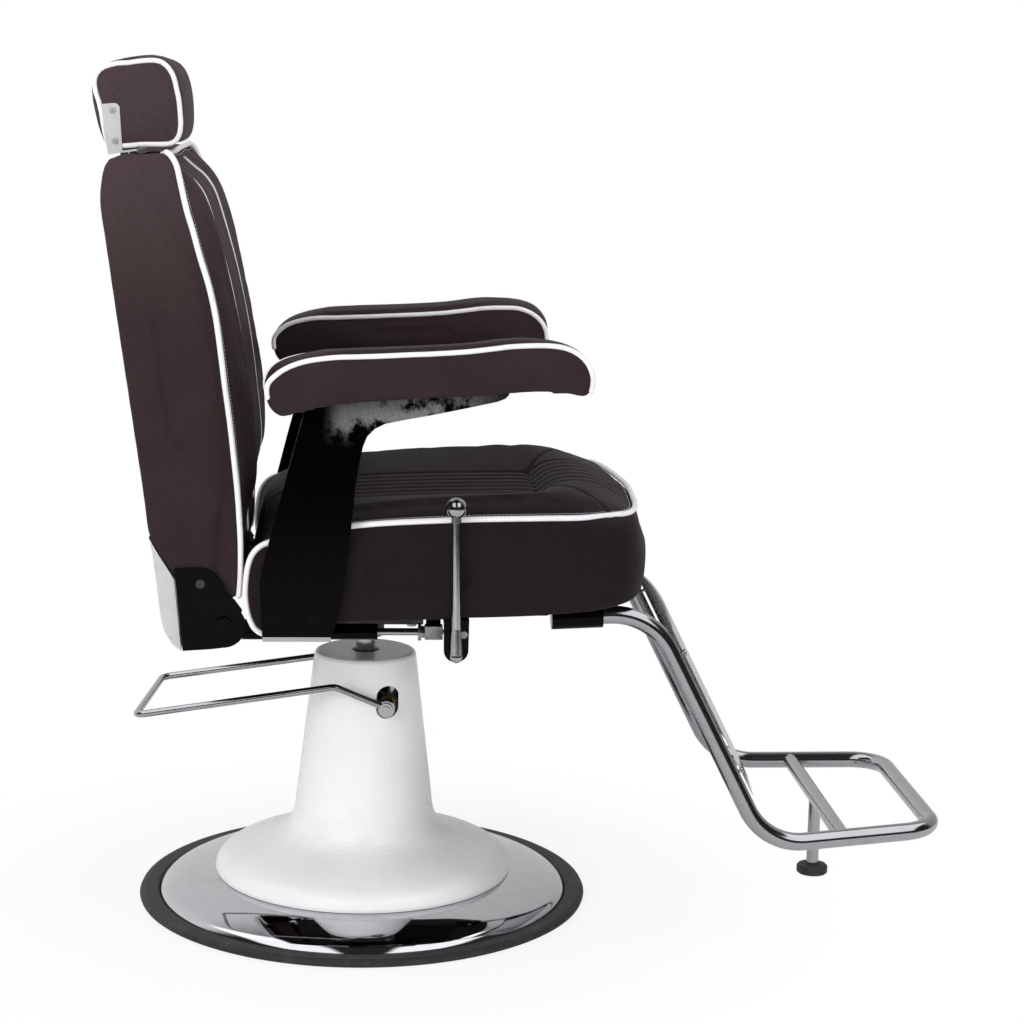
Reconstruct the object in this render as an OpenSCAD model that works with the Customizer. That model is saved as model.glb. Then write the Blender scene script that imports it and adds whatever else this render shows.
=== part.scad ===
// Hydraulic barber chair: pump base, swivelling seat, reclining back,
// sliding headrest and a fixed tube footrest.
// The chair faces -Y, +Z is up, the sitter's right hand is towards -X.
// The origin is the middle of the base's underside. Sizes are in millimetres.
// Side outlines are written as [forward, up].

/* [Base and column] */
// Radius of the rubber edged base
base_r = 325; // [300:5:350]
// Height of the pump column above the floor
column_top = 362; // [350:1:366]
// Radius of the column at its top
column_top_r = 72.7; // [72:0.1:76]
// Lean of the column's wall, radius lost for each millimetre of height
column_taper = 0.12; // [0.11:0.005:0.13]
// Radius of the hydraulic ram
ram_r = 14; // [13:0.5:15]

/* [Foot pump] */
// Turn of the pump lever away from straight back, seen from above
pump_turn = 6; // [0:1:15]
// Height of the lever's shaft
pump_shaft_z = 296; // [296:1:300]
// Distance of the lever's shaft in front of the column's axis
pump_shaft_f = 38; // [38:1:42]
// Thickness of the lever's rod
lever_rod_d = 10; // [8:1:12]
// Half the width of the lever's loop
lever_half_w = 110; // [104:1:120]

/* [Seat] */
// Upward tilt of the seat towards its front
seat_tilt = 2.48; // [2:0.01:3]
// Height of the seat's underside above the floor, at the swivel axis
seat_z = 465.4; // [464:0.1:468]
// Half the width of the seat between its side seams
seat_half = 270; // [268:1:272]
// Number of sewn channels across the seat's middle panel
seat_channels = 6; // [4:2:8]
// Half the width of the channelled panel
panel_half = 93; // [85:1:100]
// Depth of a sewn channel
channel_deep = 5; // [0:1:7]

/* [Arms] */
// Distance of the arm plates from the middle
arm_x = 290; // [289:1:294]
// Thickness of an arm plate
arm_t = 5; // [4:1:6]
// Width of an arm pad
arm_pad_w = 90; // [80:1:94]

/* [Footrest] */
// Outside diameter of the footrest tube
foot_tube_d = 25; // [22:1:25]
// Wall of the footrest tube
foot_tube_wall = 2; // [1.5:0.5:3]
// Distance of an upright from the middle
upright_x = 210; // [205:1:212]
// Bend radius of the upright's two bends
upright_bend = 90; // [70:5:95]
// Bend radius at the front corners of the loop
corner_bend = 55; // [40:5:60]
// Height of the rubber buffer's underside above the floor
buffer_z = 21; // [20:1:25]

/* [Back] */
// Lean of the back from upright
back_lean = 8.5; // [8:0.1:9]
// Half the width of the back between its side seams
back_half = 260; // [256:1:261]
// Height of the recline pivot
pivot_z = 457; // [456:1:458]
// Distance of the recline pivot behind the swivel axis
pivot_back = 193; // [192:1:195]

/* [Headrest] */
// Half the width of the headrest
head_half = 130; // [120:1:134]
// Diameter of a headrest post
post_d = 12; // [10:1:12]
// Distance of a headrest post from the middle
post_x = 70; // [60:1:80]

/* [Hidden] */

$fn = 64;
fit = 0.05;          // radial clearance of a running fit
gap = 0.3;           // clearance between parts that pass each other
plate_z = 8;         // top of the base plate
tank_r = 66;         // pump tank
tank_top = 226;      // top of the tank
tank_bolt_r = 75;    // circle of the tank's bolts
head_r = 74;         // pump head, which closes the tank
head_top = 248;
shaft_r = 8;         // pump lever's shaft
plunger_r = 7;
plunger_x = 35;      // plunger's place beside the ram cylinder
rocker_reach = 22;   // from the lever's shaft to the rocker's nose
rocker_nose_r = 6;
plunger_f = pump_shaft_f - rocker_reach;
spigot_r = 12;       // ram's upper end, which the hub turns on
ram_top = 382;       // shoulder under the spigot
gas_x = 215;         // gas spring's distance from the middle
gas_z = 438;
anchor_f = 88;       // front pin of the gas spring
gas_eye_f = -226.5;  // rear eye of the gas spring
gas_r = 11;
gas_rod_r = 5;
lever_pivot_f = 115; // recline lever's pivot
lever_pivot_z = 421;
lever_x = 289;       // recline lever's distance from the middle
frame_t = 4;         // seat frame's plate
board_t = 12;        // boards under the cushions
white = [0.93, 0.93, 0.92];
chrome = [0.80, 0.81, 0.83];
black = [0.06, 0.06, 0.07];
leather = [0.24, 0.20, 0.20];
steel = [0.55, 0.56, 0.58];
iron = [0.32, 0.33, 0.35];
wood = [0.72, 0.58, 0.40];

// ---------- shared shapes ----------

// A slab cut to a side outline: from x towards the sitter's right by t
module from_side(x, t) {
  translate([x, 0, 0]) rotate([90, 0, -90]) linear_extrude(t) children();
}

// A pin across the chair through [forward, up], from x0 down to x1
module cross_pin(p, x0, x1, r) {
  translate([x1, -p[0], p[1]]) rotate([0, 90, 0]) cylinder(h = x0 - x1, r = r);
}

module both_sides() {
  children();
  mirror([1, 0, 0]) children();
}

// The tilted plane of the seat's underside
module on_seat() {
  translate([0, 0, seat_z]) rotate([-seat_tilt, 0, 0]) children();
}

// The back's own frame: origin at the recline pivot, +Z up along the back
module on_back() {
  translate([0, pivot_back, pivot_z]) rotate([-back_lean, 0, 0]) children();
}

// The pump's own frame, turned about the column
module on_pump() {
  rotate([0, 0, -pump_turn]) children();
}

function place(p, x) = [x, -p[0], p[1]];
function mix(a, b, t) = a + (b - a) * t;
function unit(v) = v / norm(v);

// Smooth closed curve through points, n steps to each span
function closed_curve(p, n) =
  let (m = len(p))
  [for (i = [0:m - 1], k = [0:n - 1])
    let (t = k / n, a = p[(i + m - 1) % m], b = p[i], c = p[(i + 1) % m], d = p[(i + 2) % m])
    (2 * b + (c - a) * t + (2 * a - 5 * b + 4 * c - d) * t * t
      + (3 * b - a - 3 * c + d) * t * t * t) / 2];

// Smooth open curve through points, n steps to each span
function open_curve(p, n) =
  let (m = len(p))
  concat([for (i = [0:m - 2], k = [0:n - 1])
    let (t = k / n, b = p[i], c = p[i + 1],
      a = i == 0 ? 2 * b - c : p[i - 1], d = i == m - 2 ? 2 * c - b : p[i + 2])
    (2 * b + (c - a) * t + (2 * a - 5 * b + 4 * c - d) * t * t
      + (3 * b - a - 3 * c + d) * t * t * t) / 2], [p[m - 1]]);

// Closed surface through a list of rings, with a point at the middle of each end
module skin(rings) {
  r = len(rings);
  m = len(rings[0]);
  middle = function (ring) [for (k = [0:2]) let (s = [for (q = ring) q[k]]) s * [for (q = s) 1] / m];
  polyhedron(
    concat([for (ring = rings) each ring], [middle(rings[0]), middle(rings[r - 1])]),
    concat(
      [for (i = [0:r - 2], j = [0:m - 1])
        let (a = i * m + j, b = i * m + (j + 1) % m)
        each [[a, b + m, b], [a, a + m, b + m]]],
      [for (j = [0:m - 1]) [r * m, j, (j + 1) % m]],
      [for (j = [0:m - 1]) [r * m + 1, (r - 1) * m + (j + 1) % m, (r - 1) * m + j]]));
}

// A straight round bar from a to b
module bar(a, b, r) {
  d = b - a;
  translate(a) rotate([0, acos(d[2] / norm(d)), atan2(d[1], d[0])]) cylinder(h = norm(d), r = r);
}

// How far before a corner its bend starts
function bend_run(p, i, radius) =
  let (a = unit(p[i] - p[i - 1]), b = unit(p[i + 1] - p[i])) radius * tan(acos(a * b) / 2);

bend_thin = 0.02;    // a bar is this much thinner in its bends
bend_lap = 0.3;      // how far each straight laps over its bend

function round_to(v, step) = round(v / step) * step;

// The rest of a bent bar, drawn from its own start along +Z. x and z are where
// the bar's own X and Z axes point, so that each corner's bend turns the right way.
module bar_onwards(p, radii, r, i, x, z) {
  before = i == 0 ? 0 : bend_run(p, i, radii[i - 1]);
  after = i == len(p) - 2 ? 0 : bend_run(p, i + 1, radii[i]);
  length = round_to(norm(p[i + 1] - p[i]) - before - after, 0.01);
  low = i == 0 ? 0 : bend_lap;
  high = i == len(p) - 2 ? 0 : bend_lap;
  translate([0, 0, -low]) cylinder(h = low + length + high, r = r);
  if (i < len(p) - 2) {
    next = unit(p[i + 2] - p[i + 1]);
    y = cross(z, x);
    roll = round_to(atan2(next * y, next * x), 0.001);
    turn = round_to(acos(next * z), 0.001);
    inward = cos(roll) * x + sin(roll) * y;
    translate([0, 0, length]) rotate([0, 0, roll]) translate([radii[i], 0, 0]) {
      rotate([90, 0, 180]) rotate_extrude(angle = turn) translate([radii[i], 0])
        circle(r - bend_thin);
      rotate([0, turn, 0]) translate([-radii[i], 0, 0])
        bar_onwards(p, radii, r, i + 1, cos(turn) * inward - sin(turn) * z,
          sin(turn) * inward + cos(turn) * z);
    }
  }
}

// A round bar along a path of corner points, each corner bent to its own radius
module bent_bar(p, radii, r) {
  d = unit(p[1] - p[0]);
  tip = acos(d[2]);
  head = atan2(d[1], d[0]);
  translate(p[0]) rotate([0, tip, head]) bar_onwards(p, radii, r, 0,
    [cos(tip) * cos(head), cos(tip) * sin(head), -sin(tip)], d);
}

// A hexagon headed bolt pointing down, its head's underside at the origin
module hex_bolt(size, length) {
  cylinder(h = size * 0.65, r = size * 0.95, $fn = 6);
  translate([0, 0, -length]) cylinder(h = length, r = size / 2);
}

// A round headed screw pointing towards -X, its head's underside at the origin
module side_screw(size, length) {
  rotate([0, 90, 0]) {
    cylinder(h = size * 0.35, r = size);
    translate([0, 0, -length]) cylinder(h = length, r = size / 2);
  }
}

// ---------- base and column ----------

// The places of the four bolts that hold the tank
module at_tank_bolts() {
  for (a = [45:90:315]) rotate([0, 0, a]) translate([tank_bolt_r, 0, 0]) children();
}

module base_plate() {
  color(iron) difference() {
    translate([0, 0, 2]) cylinder(h = plate_z - 2, r = base_r - 29);
    at_tank_bolts() cylinder(h = 20, r = 5);
  }
}

module base_ring() {
  color(black) rotate_extrude($fn = 128) translate([base_r, 0]) polygon([
    [-53, 0], [-5, 0], [-1, 2], [0, 5], [-2, 9], [-8, 11], [-25, 11], [-28, 9], [-28, 2], [-53, 2]]);
}

// Outer line of the chrome dome, [radius, height]
dome_line = open_curve([
  [base_r - 29, plate_z + 1], [base_r - 30.5, 12], [base_r - 35, 16.5], [base_r - 42, 20.5],
  [base_r - 57, 26], [base_r - 77, 31.3], [base_r - 97, 35.4], [base_r - 120, 39.2]], 4);

module base_dome() {
  inner = [for (q = dome_line) q - [2, 2]];
  color(chrome) rotate_extrude($fn = 128) polygon(concat(
    [[base_r - 29, plate_z]], dome_line,
    [for (i = [len(inner) - 1:-1:4]) inner[i]], [[base_r - 31, plate_z]]));
}

function column_r(z) = column_top_r + (column_top - z) * column_taper;

// Outer line of the white column and its skirt, [radius, height]
skirt_r = 215;
skirt_low = 38.3;
skirt_line = open_curve([
  [skirt_r, skirt_low], [skirt_r + 0.5, 44], [skirt_r - 4, 54], [200, 63], [179, 72], [150, 81],
  [124, 92], [109, 107], [column_r(128), 128], [column_r(150), 150]], 3);

module column_cover() {
  wall = 3;
  inner = [for (q = skirt_line) q[1] > 105 ? q - [wall, 0] : q - [wall * 0.7, wall]];
  color(white) on_pump() difference() {
    rotate_extrude($fn = 128) polygon(concat(
      skirt_line, [[column_r(column_top - 5), column_top - 5],
        [column_top_r - 1.5, column_top - 1.5], [column_top_r - 5, column_top],
        [20, column_top], [20, column_top - wall], [column_top_r - 7, column_top - wall],
        [column_r(column_top - 8) - wall, column_top - 8]],
      [for (i = [len(inner) - 1:-1:1]) inner[i]], [[skirt_r - wall, skirt_low]]));
    for (z = [-2, 14]) cross_pin([pump_shaft_f, pump_shaft_z + z], 130, -130, 15);
    translate([-130, -pump_shaft_f - 15, pump_shaft_z - 2]) cube([260, 30, 16]);
  }
}

module pump_tank() {
  color(iron) difference() {
    rotate_extrude() polygon([
      [0, plate_z], [84, plate_z], [84, plate_z + 8], [tank_r, plate_z + 8], [tank_r, tank_top],
      [tank_r - 4, tank_top], [tank_r - 4, plate_z + 8], [0, plate_z + 8]]);
    at_tank_bolts() cylinder(h = 20, r = 5);
  }
}

module pump_head() {
  ear_x = 40;
  ear_t = 8;
  color(steel) on_pump() difference() {
    union() {
      translate([0, 0, tank_top]) cylinder(h = head_top - tank_top, r = head_r);
      both_sides() {
        translate([ear_x, -pump_shaft_f - 13, head_top - 1])
          cube([ear_t, 23.5, pump_shaft_z - head_top + 1]);
        cross_pin([pump_shaft_f, pump_shaft_z], ear_x + ear_t, ear_x, 13);
      }
    }
    translate([0, 0, tank_top - 1]) cylinder(h = 60, r = 22);
    translate([plunger_x, -plunger_f, tank_top - 1]) cylinder(h = 60, r = plunger_r + fit);
    cross_pin([pump_shaft_f, pump_shaft_z], 60, -60, shaft_r + 2);
  }
}

module ram_cylinder() {
  color(steel) difference() {
    translate([0, 0, plate_z + 8]) cylinder(h = 319, r = 22);
    translate([0, 0, plate_z + 12]) cylinder(h = 400, r = ram_r + 4);
  }
}

module gland_nut() {
  color(steel) difference() {
    translate([0, 0, 335]) cylinder(h = 16, r = 19.5, $fn = 6);
    cylinder(h = 400, r = ram_r + fit);
  }
}

module pump_bolts() {
  color(steel) at_tank_bolts() translate([0, 0, plate_z + 8]) hex_bolt(9, 15);
}

module shaft_bushes() {
  color([0.72, 0.55, 0.25]) on_pump() both_sides() difference() {
    cross_pin([pump_shaft_f, pump_shaft_z], 48, 40, shaft_r + 2);
    cross_pin([pump_shaft_f, pump_shaft_z], 50, 30, shaft_r + fit);
  }
}

// ---------- ram, which rises ----------

module ram_rod() {
  color(chrome) union() {
    translate([0, 0, 62]) cylinder(h = ram_top - 62, r = ram_r);
    translate([0, 0, ram_top]) cylinder(h = 37, r = spigot_r);
  }
}

module ram_piston() {
  color(steel) difference() {
    translate([0, 0, 40]) cylinder(h = 22, r = ram_r + 4 - fit);
    for (z = [45, 54]) translate([0, 0, z]) difference() {
      cylinder(h = 3, r = ram_r + 5);
      cylinder(h = 3, r = ram_r + 1);
    }
  }
}

module piston_seals() {
  color(black) for (z = [45, 54]) translate([0, 0, z]) difference() {
    cylinder(h = 3, r = ram_r + 4 - fit);
    cylinder(h = 3, r = ram_r + 1);
  }
}

module thrust_washer() {
  color(steel) difference() {
    translate([0, 0, ram_top]) cylinder(h = 2.7, r = 20);
    cylinder(h = 500, r = spigot_r);
  }
}

// ---------- foot pump ----------

// Corner points of the lever's rod on one side, [x, y, z]
function lever_side(s) = [
  [s * 84, -pump_shaft_f + 4, pump_shaft_z + 3],
  [s * (lever_half_w - 4), 33, 331.5],
  [s * lever_half_w, 314, 284.5]];

module pump_lever() {
  path = concat(lever_side(1), [for (i = [2:-1:0]) lever_side(-1)[i]]);
  color(chrome) on_pump() difference() {
    union() {
      bent_bar(path, [16, 12, 12, 16], lever_rod_d / 2);
      both_sides() {
        cross_pin([pump_shaft_f, pump_shaft_z], 88, 79, 12);
        cross_pin([pump_shaft_f, pump_shaft_z], 91, 79, 9.5);
      }
    }
    cross_pin([pump_shaft_f, pump_shaft_z], 120, -120, 3);
  }
}

module lever_shaft() {
  color(steel) on_pump() difference() {
    union() {
      cross_pin([pump_shaft_f, pump_shaft_z], 78, -78, shaft_r);
      both_sides() cross_pin([pump_shaft_f, pump_shaft_z], 75, 72.5, 11.5);
      cross_pin([pump_shaft_f, pump_shaft_z], 39.5, 30.5, 12);
      translate([30.5, -pump_shaft_f, pump_shaft_z - 4.5]) cube([9, rocker_reach, 9]);
      cross_pin([plunger_f, pump_shaft_z], 39.5, 30.5, rocker_nose_r);
    }
    both_sides() cross_pin([pump_shaft_f, pump_shaft_z], 80, 60, 3);
  }
}

module lever_screws() {
  color(chrome) on_pump() both_sides() translate([91, -pump_shaft_f, pump_shaft_z]) side_screw(5.5, 26);
}

module pump_plunger() {
  color(steel) on_pump() translate([plunger_x, -plunger_f, 0]) {
    translate([0, 0, 205]) cylinder(h = pump_shaft_z - rocker_nose_r - gap - 205, r = plunger_r);
    translate([0, 0, 284]) cylinder(h = 3, r = 11);
  }
}

module plunger_spring() {
  wire_r = 1.2;
  coil_r = 9.6;
  turns = 6;
  steps = 12;
  low = head_top + wire_r;
  rise = 284 - wire_r - low;
  count = turns * steps;
  centre = function (i) let (a = 360 * i / steps)
    [coil_r * cos(a), coil_r * sin(a), low + rise * i / count];
  echo(str("least gap between spring turns ", rise / turns - 2 * wire_r));
  color(steel) on_pump() translate([plunger_x, -plunger_f, 0]) skin([for (i = [0:count])
    let (c = centre(i), a = 360 * i / steps, out = [cos(a), sin(a), 0])
    [for (j = [0:5]) c + wire_r * (cos(60 * j) * out + sin(60 * j) * [0, 0, 1])]]);
}

// ---------- seat ----------

module swivel_hub() {
  color(iron) difference() {
    union() {
      translate([0, 0, ram_top + 3]) cylinder(h = 36, r = 27);
      translate([-80, -80, 417]) cube([160, 160, 8]);
    }
    translate([0, 0, 300]) cylinder(h = 121, r = spigot_r + fit);
    for (x = [-64, 64], y = [-64, 64]) translate([x, y, 400]) cylinder(h = 40, r = 4.5);
  }
}

module seat_riser() {
  under = seat_z - frame_t - 0.02;
  lift = tan(seat_tilt);
  color(black) difference() {
    from_side(80, 160) polygon([
      [-75, 425], [75, 425], [75, under + 75 * lift], [-75, under - 75 * lift]]);
    from_side(75, 150) polygon([
      [-90, 431], [90, 431], [90, under - 5 + 90 * lift], [-90, under - 5 - 90 * lift]]);
    for (x = [-64, 64], y = [-64, 64]) translate([x, y, 400]) cylinder(h = 40, r = 4.5);
  }
}

module seat_bolts() {
  color(steel) {
    for (x = [-64, 64], y = [-64, 64]) translate([x, y, 417]) rotate([180, 0, 0]) hex_bolt(8, 16);
    both_sides() {
      // set screw that holds the footrest tube
      translate(socket_at(socket_mid, -16.9)) cylinder(h = 4.1, r = 3);
      on_seat() translate([168, -socket_mid, -16.2]) rotate([180, 0, 0]) hex_bolt(6, 16);
    }
    translate([-267, -126, 446]) mirror([1, 0, 0]) side_screw(5, 6);
  }
}

module seat_frame() {
  color(black) difference() {
    union() {
      on_seat() {
        translate([-185, -255, -4]) cube([370, 400, 4]);
        translate([-258, 118, -4]) cube([516, 32, 4]);
        both_sides() {
          translate([155, -330, -10]) cube([25, 470, 10]);
          translate([155, -330, -4]) cube([35, 84, 4]);
          translate([250, 55, -6]) cube([8, 92, 18]);
        }
        translate([-232, -98, -4]) cube([60, 38, 4]);
      }
      both_sides() {
        from_side(258, 8) polygon([
          [-pivot_back, pivot_z - 15], [-162, 448], [-95, 448], [-95, pivot_z + 3],
          [-150, pivot_z + 1.5], [-pivot_back, pivot_z + 15]]);
        cross_pin([-pivot_back, pivot_z], 258, 250, 18);
        translate([240, 60, 448]) cube([18, 90, 9]);
      }
      // cheek that holds the gas spring's front pin
      mirror([1, 0, 0]) from_side(gas_x - 10, 4) polygon([
        [78, 428], [98, 428], [98, 468], [78, 467]]);
    }
    both_sides() cross_pin([-pivot_back, pivot_z], 270, 240, 6);
    mirror([1, 0, 0]) cross_pin([anchor_f, gas_z], 230, 190, 4);
    both_sides() {
      for (y = [80, 130]) translate([250, y, 430]) cylinder(h = 29, r = 3);
      for (q = arm_bolt_places) cross_pin(q, 270, 245, 3.5 + fit);
      on_seat() translate([168, -socket_mid, -20]) cylinder(h = 30, r = 3);
    }
  }
}

module pivot_bolts() {
  color(chrome) both_sides() {
    translate([266.8, pivot_back, pivot_z]) side_screw(12, 16.8);
  }
}

module seat_board() {
  color(wood) on_seat() difference() {
    translate([-249, -295, 0]) cube([498, 440, board_t]);
    both_sides() translate([168, -socket_mid, -1]) cylinder(h = 20, r = 4);
  }
}

// Side outlines of the seat cushion, [forward, up], from the rear bottom round the front
seat_edge = [
  [-145.5, 450], [-60, 460], [80, 465.5], [240, 472], [292, 483], [309, 512], [311, 548],
  [305, 580], [292, 599], [262, 605], [225, 605], [195, 604], [150, 602.5], [50, 599],
  [-60, 590], [-133, 569], [-156.5, 549], [-162, 498]];
seat_bolster = [
  [-145.5, 450], [-60, 461], [100, 470], [335, 480.5], [388, 488], [397, 512], [396, 548],
  [386, 584], [354, 611], [305, 627], [252, 632], [226, 632], [195, 630.5], [60, 622.5],
  [-60, 608], [-124, 588], [-154, 556], [-163, 500]];
seat_panel = [
  [-145.5, 450], [-60, 461], [100, 470], [335, 480.5], [388, 488], [397, 512], [396, 548],
  [386, 584], [354, 611], [306, 625], [264, 622], [238, 607], [205, 606.5], [60, 603],
  [-60, 595], [-124, 580], [-154, 553], [-163, 500]];

// Distance in from the seam, 0 to 1, to how far the crown has risen
function crown(s, sharp) = sqrt(max(0, 1 - pow(abs(s), sharp)));

// Places across a cushion: seams, flanks, then the sewn channels
function channel_places(half, count) = [for (i = [-2 * count / 2:2 * count / 2]) i * half / count];

module seat_cushion() {
  crest_x = 228;
  flanks = [seat_half, seat_half - 7, seat_half - 24, crest_x, 186, 145, 116];
  places = concat([for (x = flanks) -x], channel_places(panel_half, seat_channels),
    [for (i = [len(flanks) - 1:-1:0]) flanks[i]]);
  top = [8, 9, 10, 11, 12, 13, 14];
  // How much less far forward the front reaches away from the middle
  front_bow = function (f, x) 19.5 * pow(abs(x) / 200, 1.5) * max(0, (f - 250) / 150);
  ring = function (x)
    let (g = crown(x / seat_half, 10),
      inside = 1 - min(1, max(0, (abs(x) - panel_half) / (crest_x - panel_half))),
      step = abs(x) / panel_half * seat_channels,
      valley = step < seat_channels + 0.5 && (step % 2 < 0.5 || step % 2 > 1.5) ? 1 : 0)
    [for (i = [0:len(seat_edge) - 1])
      let (full = mix(seat_bolster[i], seat_panel[i], inside),
        q = mix(seat_edge[i], full - [front_bow(full[0], x), 0], g))
      q - [0, len(search(i, top)) > 0 ? valley * channel_deep : 0]];
  side = function (x, keep) [for (q = closed_curve(seat_edge, 2))
    place(mix([60, 530], q, keep), x)];
  color(leather) difference() {
    skin(concat([side(-seat_half - 6, 0.86)],
      [for (x = places) [for (q = closed_curve(ring(x), 2)) place(q, x)]],
      [side(seat_half + 6, 0.86)]));
    on_seat() translate([-259, -300, -40]) cube([518, 600, 52.3]);
    for (q = arm_bolt_places) cross_pin(q, 300, -300, 5);
  }
}

// ---------- arms ----------

arm_bolt_places = [[-128, 467], [-76, 467]];

// An arm plate's outline, [forward, up], from its foot up the front edge
arm_plate_line = [
  [-141.3, 448], [-51, 448], [-41, 475], [-35, 510], [-30, 550], [-25, 600], [-20.5, 650],
  [-15.5, 682], [-11, 703], [-5.7, 716], [4, 726], [17, 732.5], [40, 737.5], [80, 745],
  [124, 754.3], [163, 763], [173, 767], [178, 772], [179, 778.7], [-80, 760.3], [-86, 754],
  [-90, 738], [-118, 634], [-134, 570.5], [-144.7, 521.5]];

module arm_plate() {
  face = arm_x + arm_t / 2;
  color(black) difference() {
    union() {
      from_side(face, arm_t) polygon(arm_plate_line);
      from_side(face, 36) polygon([[-78, 756.5], [172, 774.3], [172, 778.2], [-78, 760.4]]);
    }
    for (q = arm_bolt_places) {
      cross_pin(q, 320, 270, 3.5 + fit);
      cross_pin(q, face + 1, face - 2.5, 7.1);
    }
  }
}

module arm_plate_left() arm_plate();
module arm_plate_right() mirror([1, 0, 0]) arm_plate();

module arm_rails() {
  color(chrome) both_sides() difference() {
    translate([240, 51, 442]) cube([arm_x + arm_t / 2 - 240, 90, 6]);
    for (y = [80, 130]) translate([250, y, 430]) cylinder(h = 40, r = 3);
  }
}

module arm_bolts() {
  color(black) both_sides() {
    for (q = arm_bolt_places) translate([arm_x + arm_t / 2 - 2.5, -q[0], q[1]])
      side_screw(7, arm_x + arm_t / 2 - 252.5);
    for (y = [80, 130]) translate([250, y, 442]) rotate([180, 0, 0]) hex_bolt(6, 12);
  }
}

// Side outline of an arm pad, [forward, up], from the rear bottom round the front
arm_outline = [
  [-112, 744.8], [-92, 758.6], [-80, 761.2], [-10, 766], [80, 772.4], [160, 778.1],
  [225, 782.7], [243, 783.6], [261, 776.3], [277, 778], [283, 797], [276, 817],
  [257, 834], [226, 841], [178, 840], [120, 832.8], [50, 828.2], [-30, 824.2],
  [-80, 818.5], [-117, 804], [-134.5, 786], [-131, 758]];

module arm_pad() {
  half = arm_pad_w / 2;
  places = [-1, -0.9, -0.68, -0.35, 0, 0.35, 0.68, 0.9, 1];
  outline = closed_curve(arm_outline, 2);
  // The ends sit further back, and the top lower, towards the sitter
  lean = function (q, s) q - (1 - s) / 2 * [
    q[0] > 230 ? 6 : q[0] < -110 ? 4 : 0,
    q[1] > 784 ? 5 * min(1, max(0, (q[0] + 110) / 60)) : 0];
  // The crown swells the top and both ends
  swell = function (q, g) q + g * [q[0] > 230 ? 3 : q[0] < -110 ? -2 : 0, q[1] > 795 ? 6 : 0];
  side = function (s, keep) [for (q = outline)
    place(mix([70, 803], lean(q, s), keep), arm_x + s * half + sign(s) * 3)];
  color(leather) skin(concat([side(-1, 0.9)],
    [for (s = places) [for (q = outline) place(lean(swell(q, crown(s, 3)), s), arm_x + s * half)]],
    [side(1, 0.9)]));
}

module arm_pad_left() arm_pad();
module arm_pad_right() mirror([1, 0, 0]) arm_pad();

// ---------- footrest ----------

socket_rear = [251, 458];
foot_top = [386.6, 464];
socket_mid = 287;
socket_slope = (foot_top[1] - socket_rear[1]) / (foot_top[0] - socket_rear[0]);
foot_low = [555, 133];
foot_front = [808, 144.2];
low_x = upright_x + 2;
front_x = upright_x - 34;

// Corner points of the footrest tube, from the right socket to the left one
function foot_half(s) = [
  [s * upright_x, -socket_rear[0] - 2, socket_rear[1] + 2 * socket_slope],
  [s * upright_x, -foot_top[0], foot_top[1]],
  [s * low_x, -foot_low[0], foot_low[1]],
  [s * front_x, -foot_front[0], foot_front[1]]];
foot_path = concat(foot_half(-1), [for (i = [3:-1:0]) foot_half(1)[i]]);
foot_bends = [upright_bend, upright_bend, corner_bend, corner_bend, upright_bend, upright_bend];

module footrest_tube() {
  color(chrome) difference() {
    bent_bar(foot_path, foot_bends, foot_tube_d / 2);
    bent_bar(foot_path, foot_bends, foot_tube_d / 2 - foot_tube_wall);
    calf_holes();
  }
}

// A point of the right hand socket, f forward and h above its axis
function socket_at(f, h) = [upright_x, -f, socket_rear[1] + (f - socket_rear[0]) * socket_slope + h];

module footrest_sockets() {
  color(black) both_sides() difference() {
    union() {
      bar(socket_at(248, 0), socket_at(318, 0), 17);
      on_seat() translate([158, -socket_mid - 17, -16]) cube([44, 34, 5.8]);
    }
    bar(socket_at(253, 0), socket_at(360, 0), foot_tube_d / 2 + fit);
    translate(socket_at(socket_mid, -30)) cylinder(h = 20, r = 3);
    on_seat() translate([168, -socket_mid, -30]) cylinder(h = 60, r = 3);
  }
}

// Where the crossbar lies along the loop's sides
crossbar_f = 670;
crossbar_r = 11;
crossbar_z = mix(foot_low[1], foot_front[1], (crossbar_f - foot_low[0]) / (foot_front[0] - foot_low[0]));
crossbar_x = mix(low_x, front_x, (crossbar_f - foot_low[0]) / (foot_front[0] - foot_low[0]));

module footrest_crossbar() {
  color(chrome) difference() {
    bar([-crossbar_x, -crossbar_f, crossbar_z], [crossbar_x, -crossbar_f, crossbar_z], crossbar_r);
    both_sides() bar(foot_half(1)[2], foot_half(1)[3], foot_tube_d / 2 + 0.02);
  }
}

module stop_leg() {
  leg_r = 9;
  color(chrome) difference() {
    translate([0, -crossbar_f, buffer_z + 6]) cylinder(h = crossbar_z - buffer_z - 6, r = leg_r);
    bar([-50, -crossbar_f, crossbar_z], [50, -crossbar_f, crossbar_z], crossbar_r + 0.02);
  }
}

module stop_foot() {
  color(black) translate([0, -crossbar_f, buffer_z]) difference() {
    rotate_extrude() polygon([
      [0, 0], [21, 0], [23, 2], [23, 10], [21, 12.5], [13, 14], [12, 16], [0, 16]]);
    translate([0, 0, 6]) cylinder(h = 20, r = 9);
  }
}

// The calf plate bows forward between the uprights
calf_from = [401, 435.8];
calf_along = unit([67.8, -133.2]);
calf_length = 268;
calf_half = upright_x + 3;
calf_bow = 12;
calf_t = 2.5;
calf_back = foot_tube_d / 2 + gap;
calf_radius = (calf_half * calf_half + calf_bow * calf_bow) / (2 * calf_bow);
calf_screw_x = upright_x - 4;
calf_screw_at = [40, 228];

// Along the calf plate: origin on the uprights' middle line, -Y ahead of the plate
module on_calf(t) {
  translate(place(calf_from + calf_along * t, 0))
    rotate([atan2(-calf_along[0], -calf_along[1]), 0, 0]) children();
}

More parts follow.
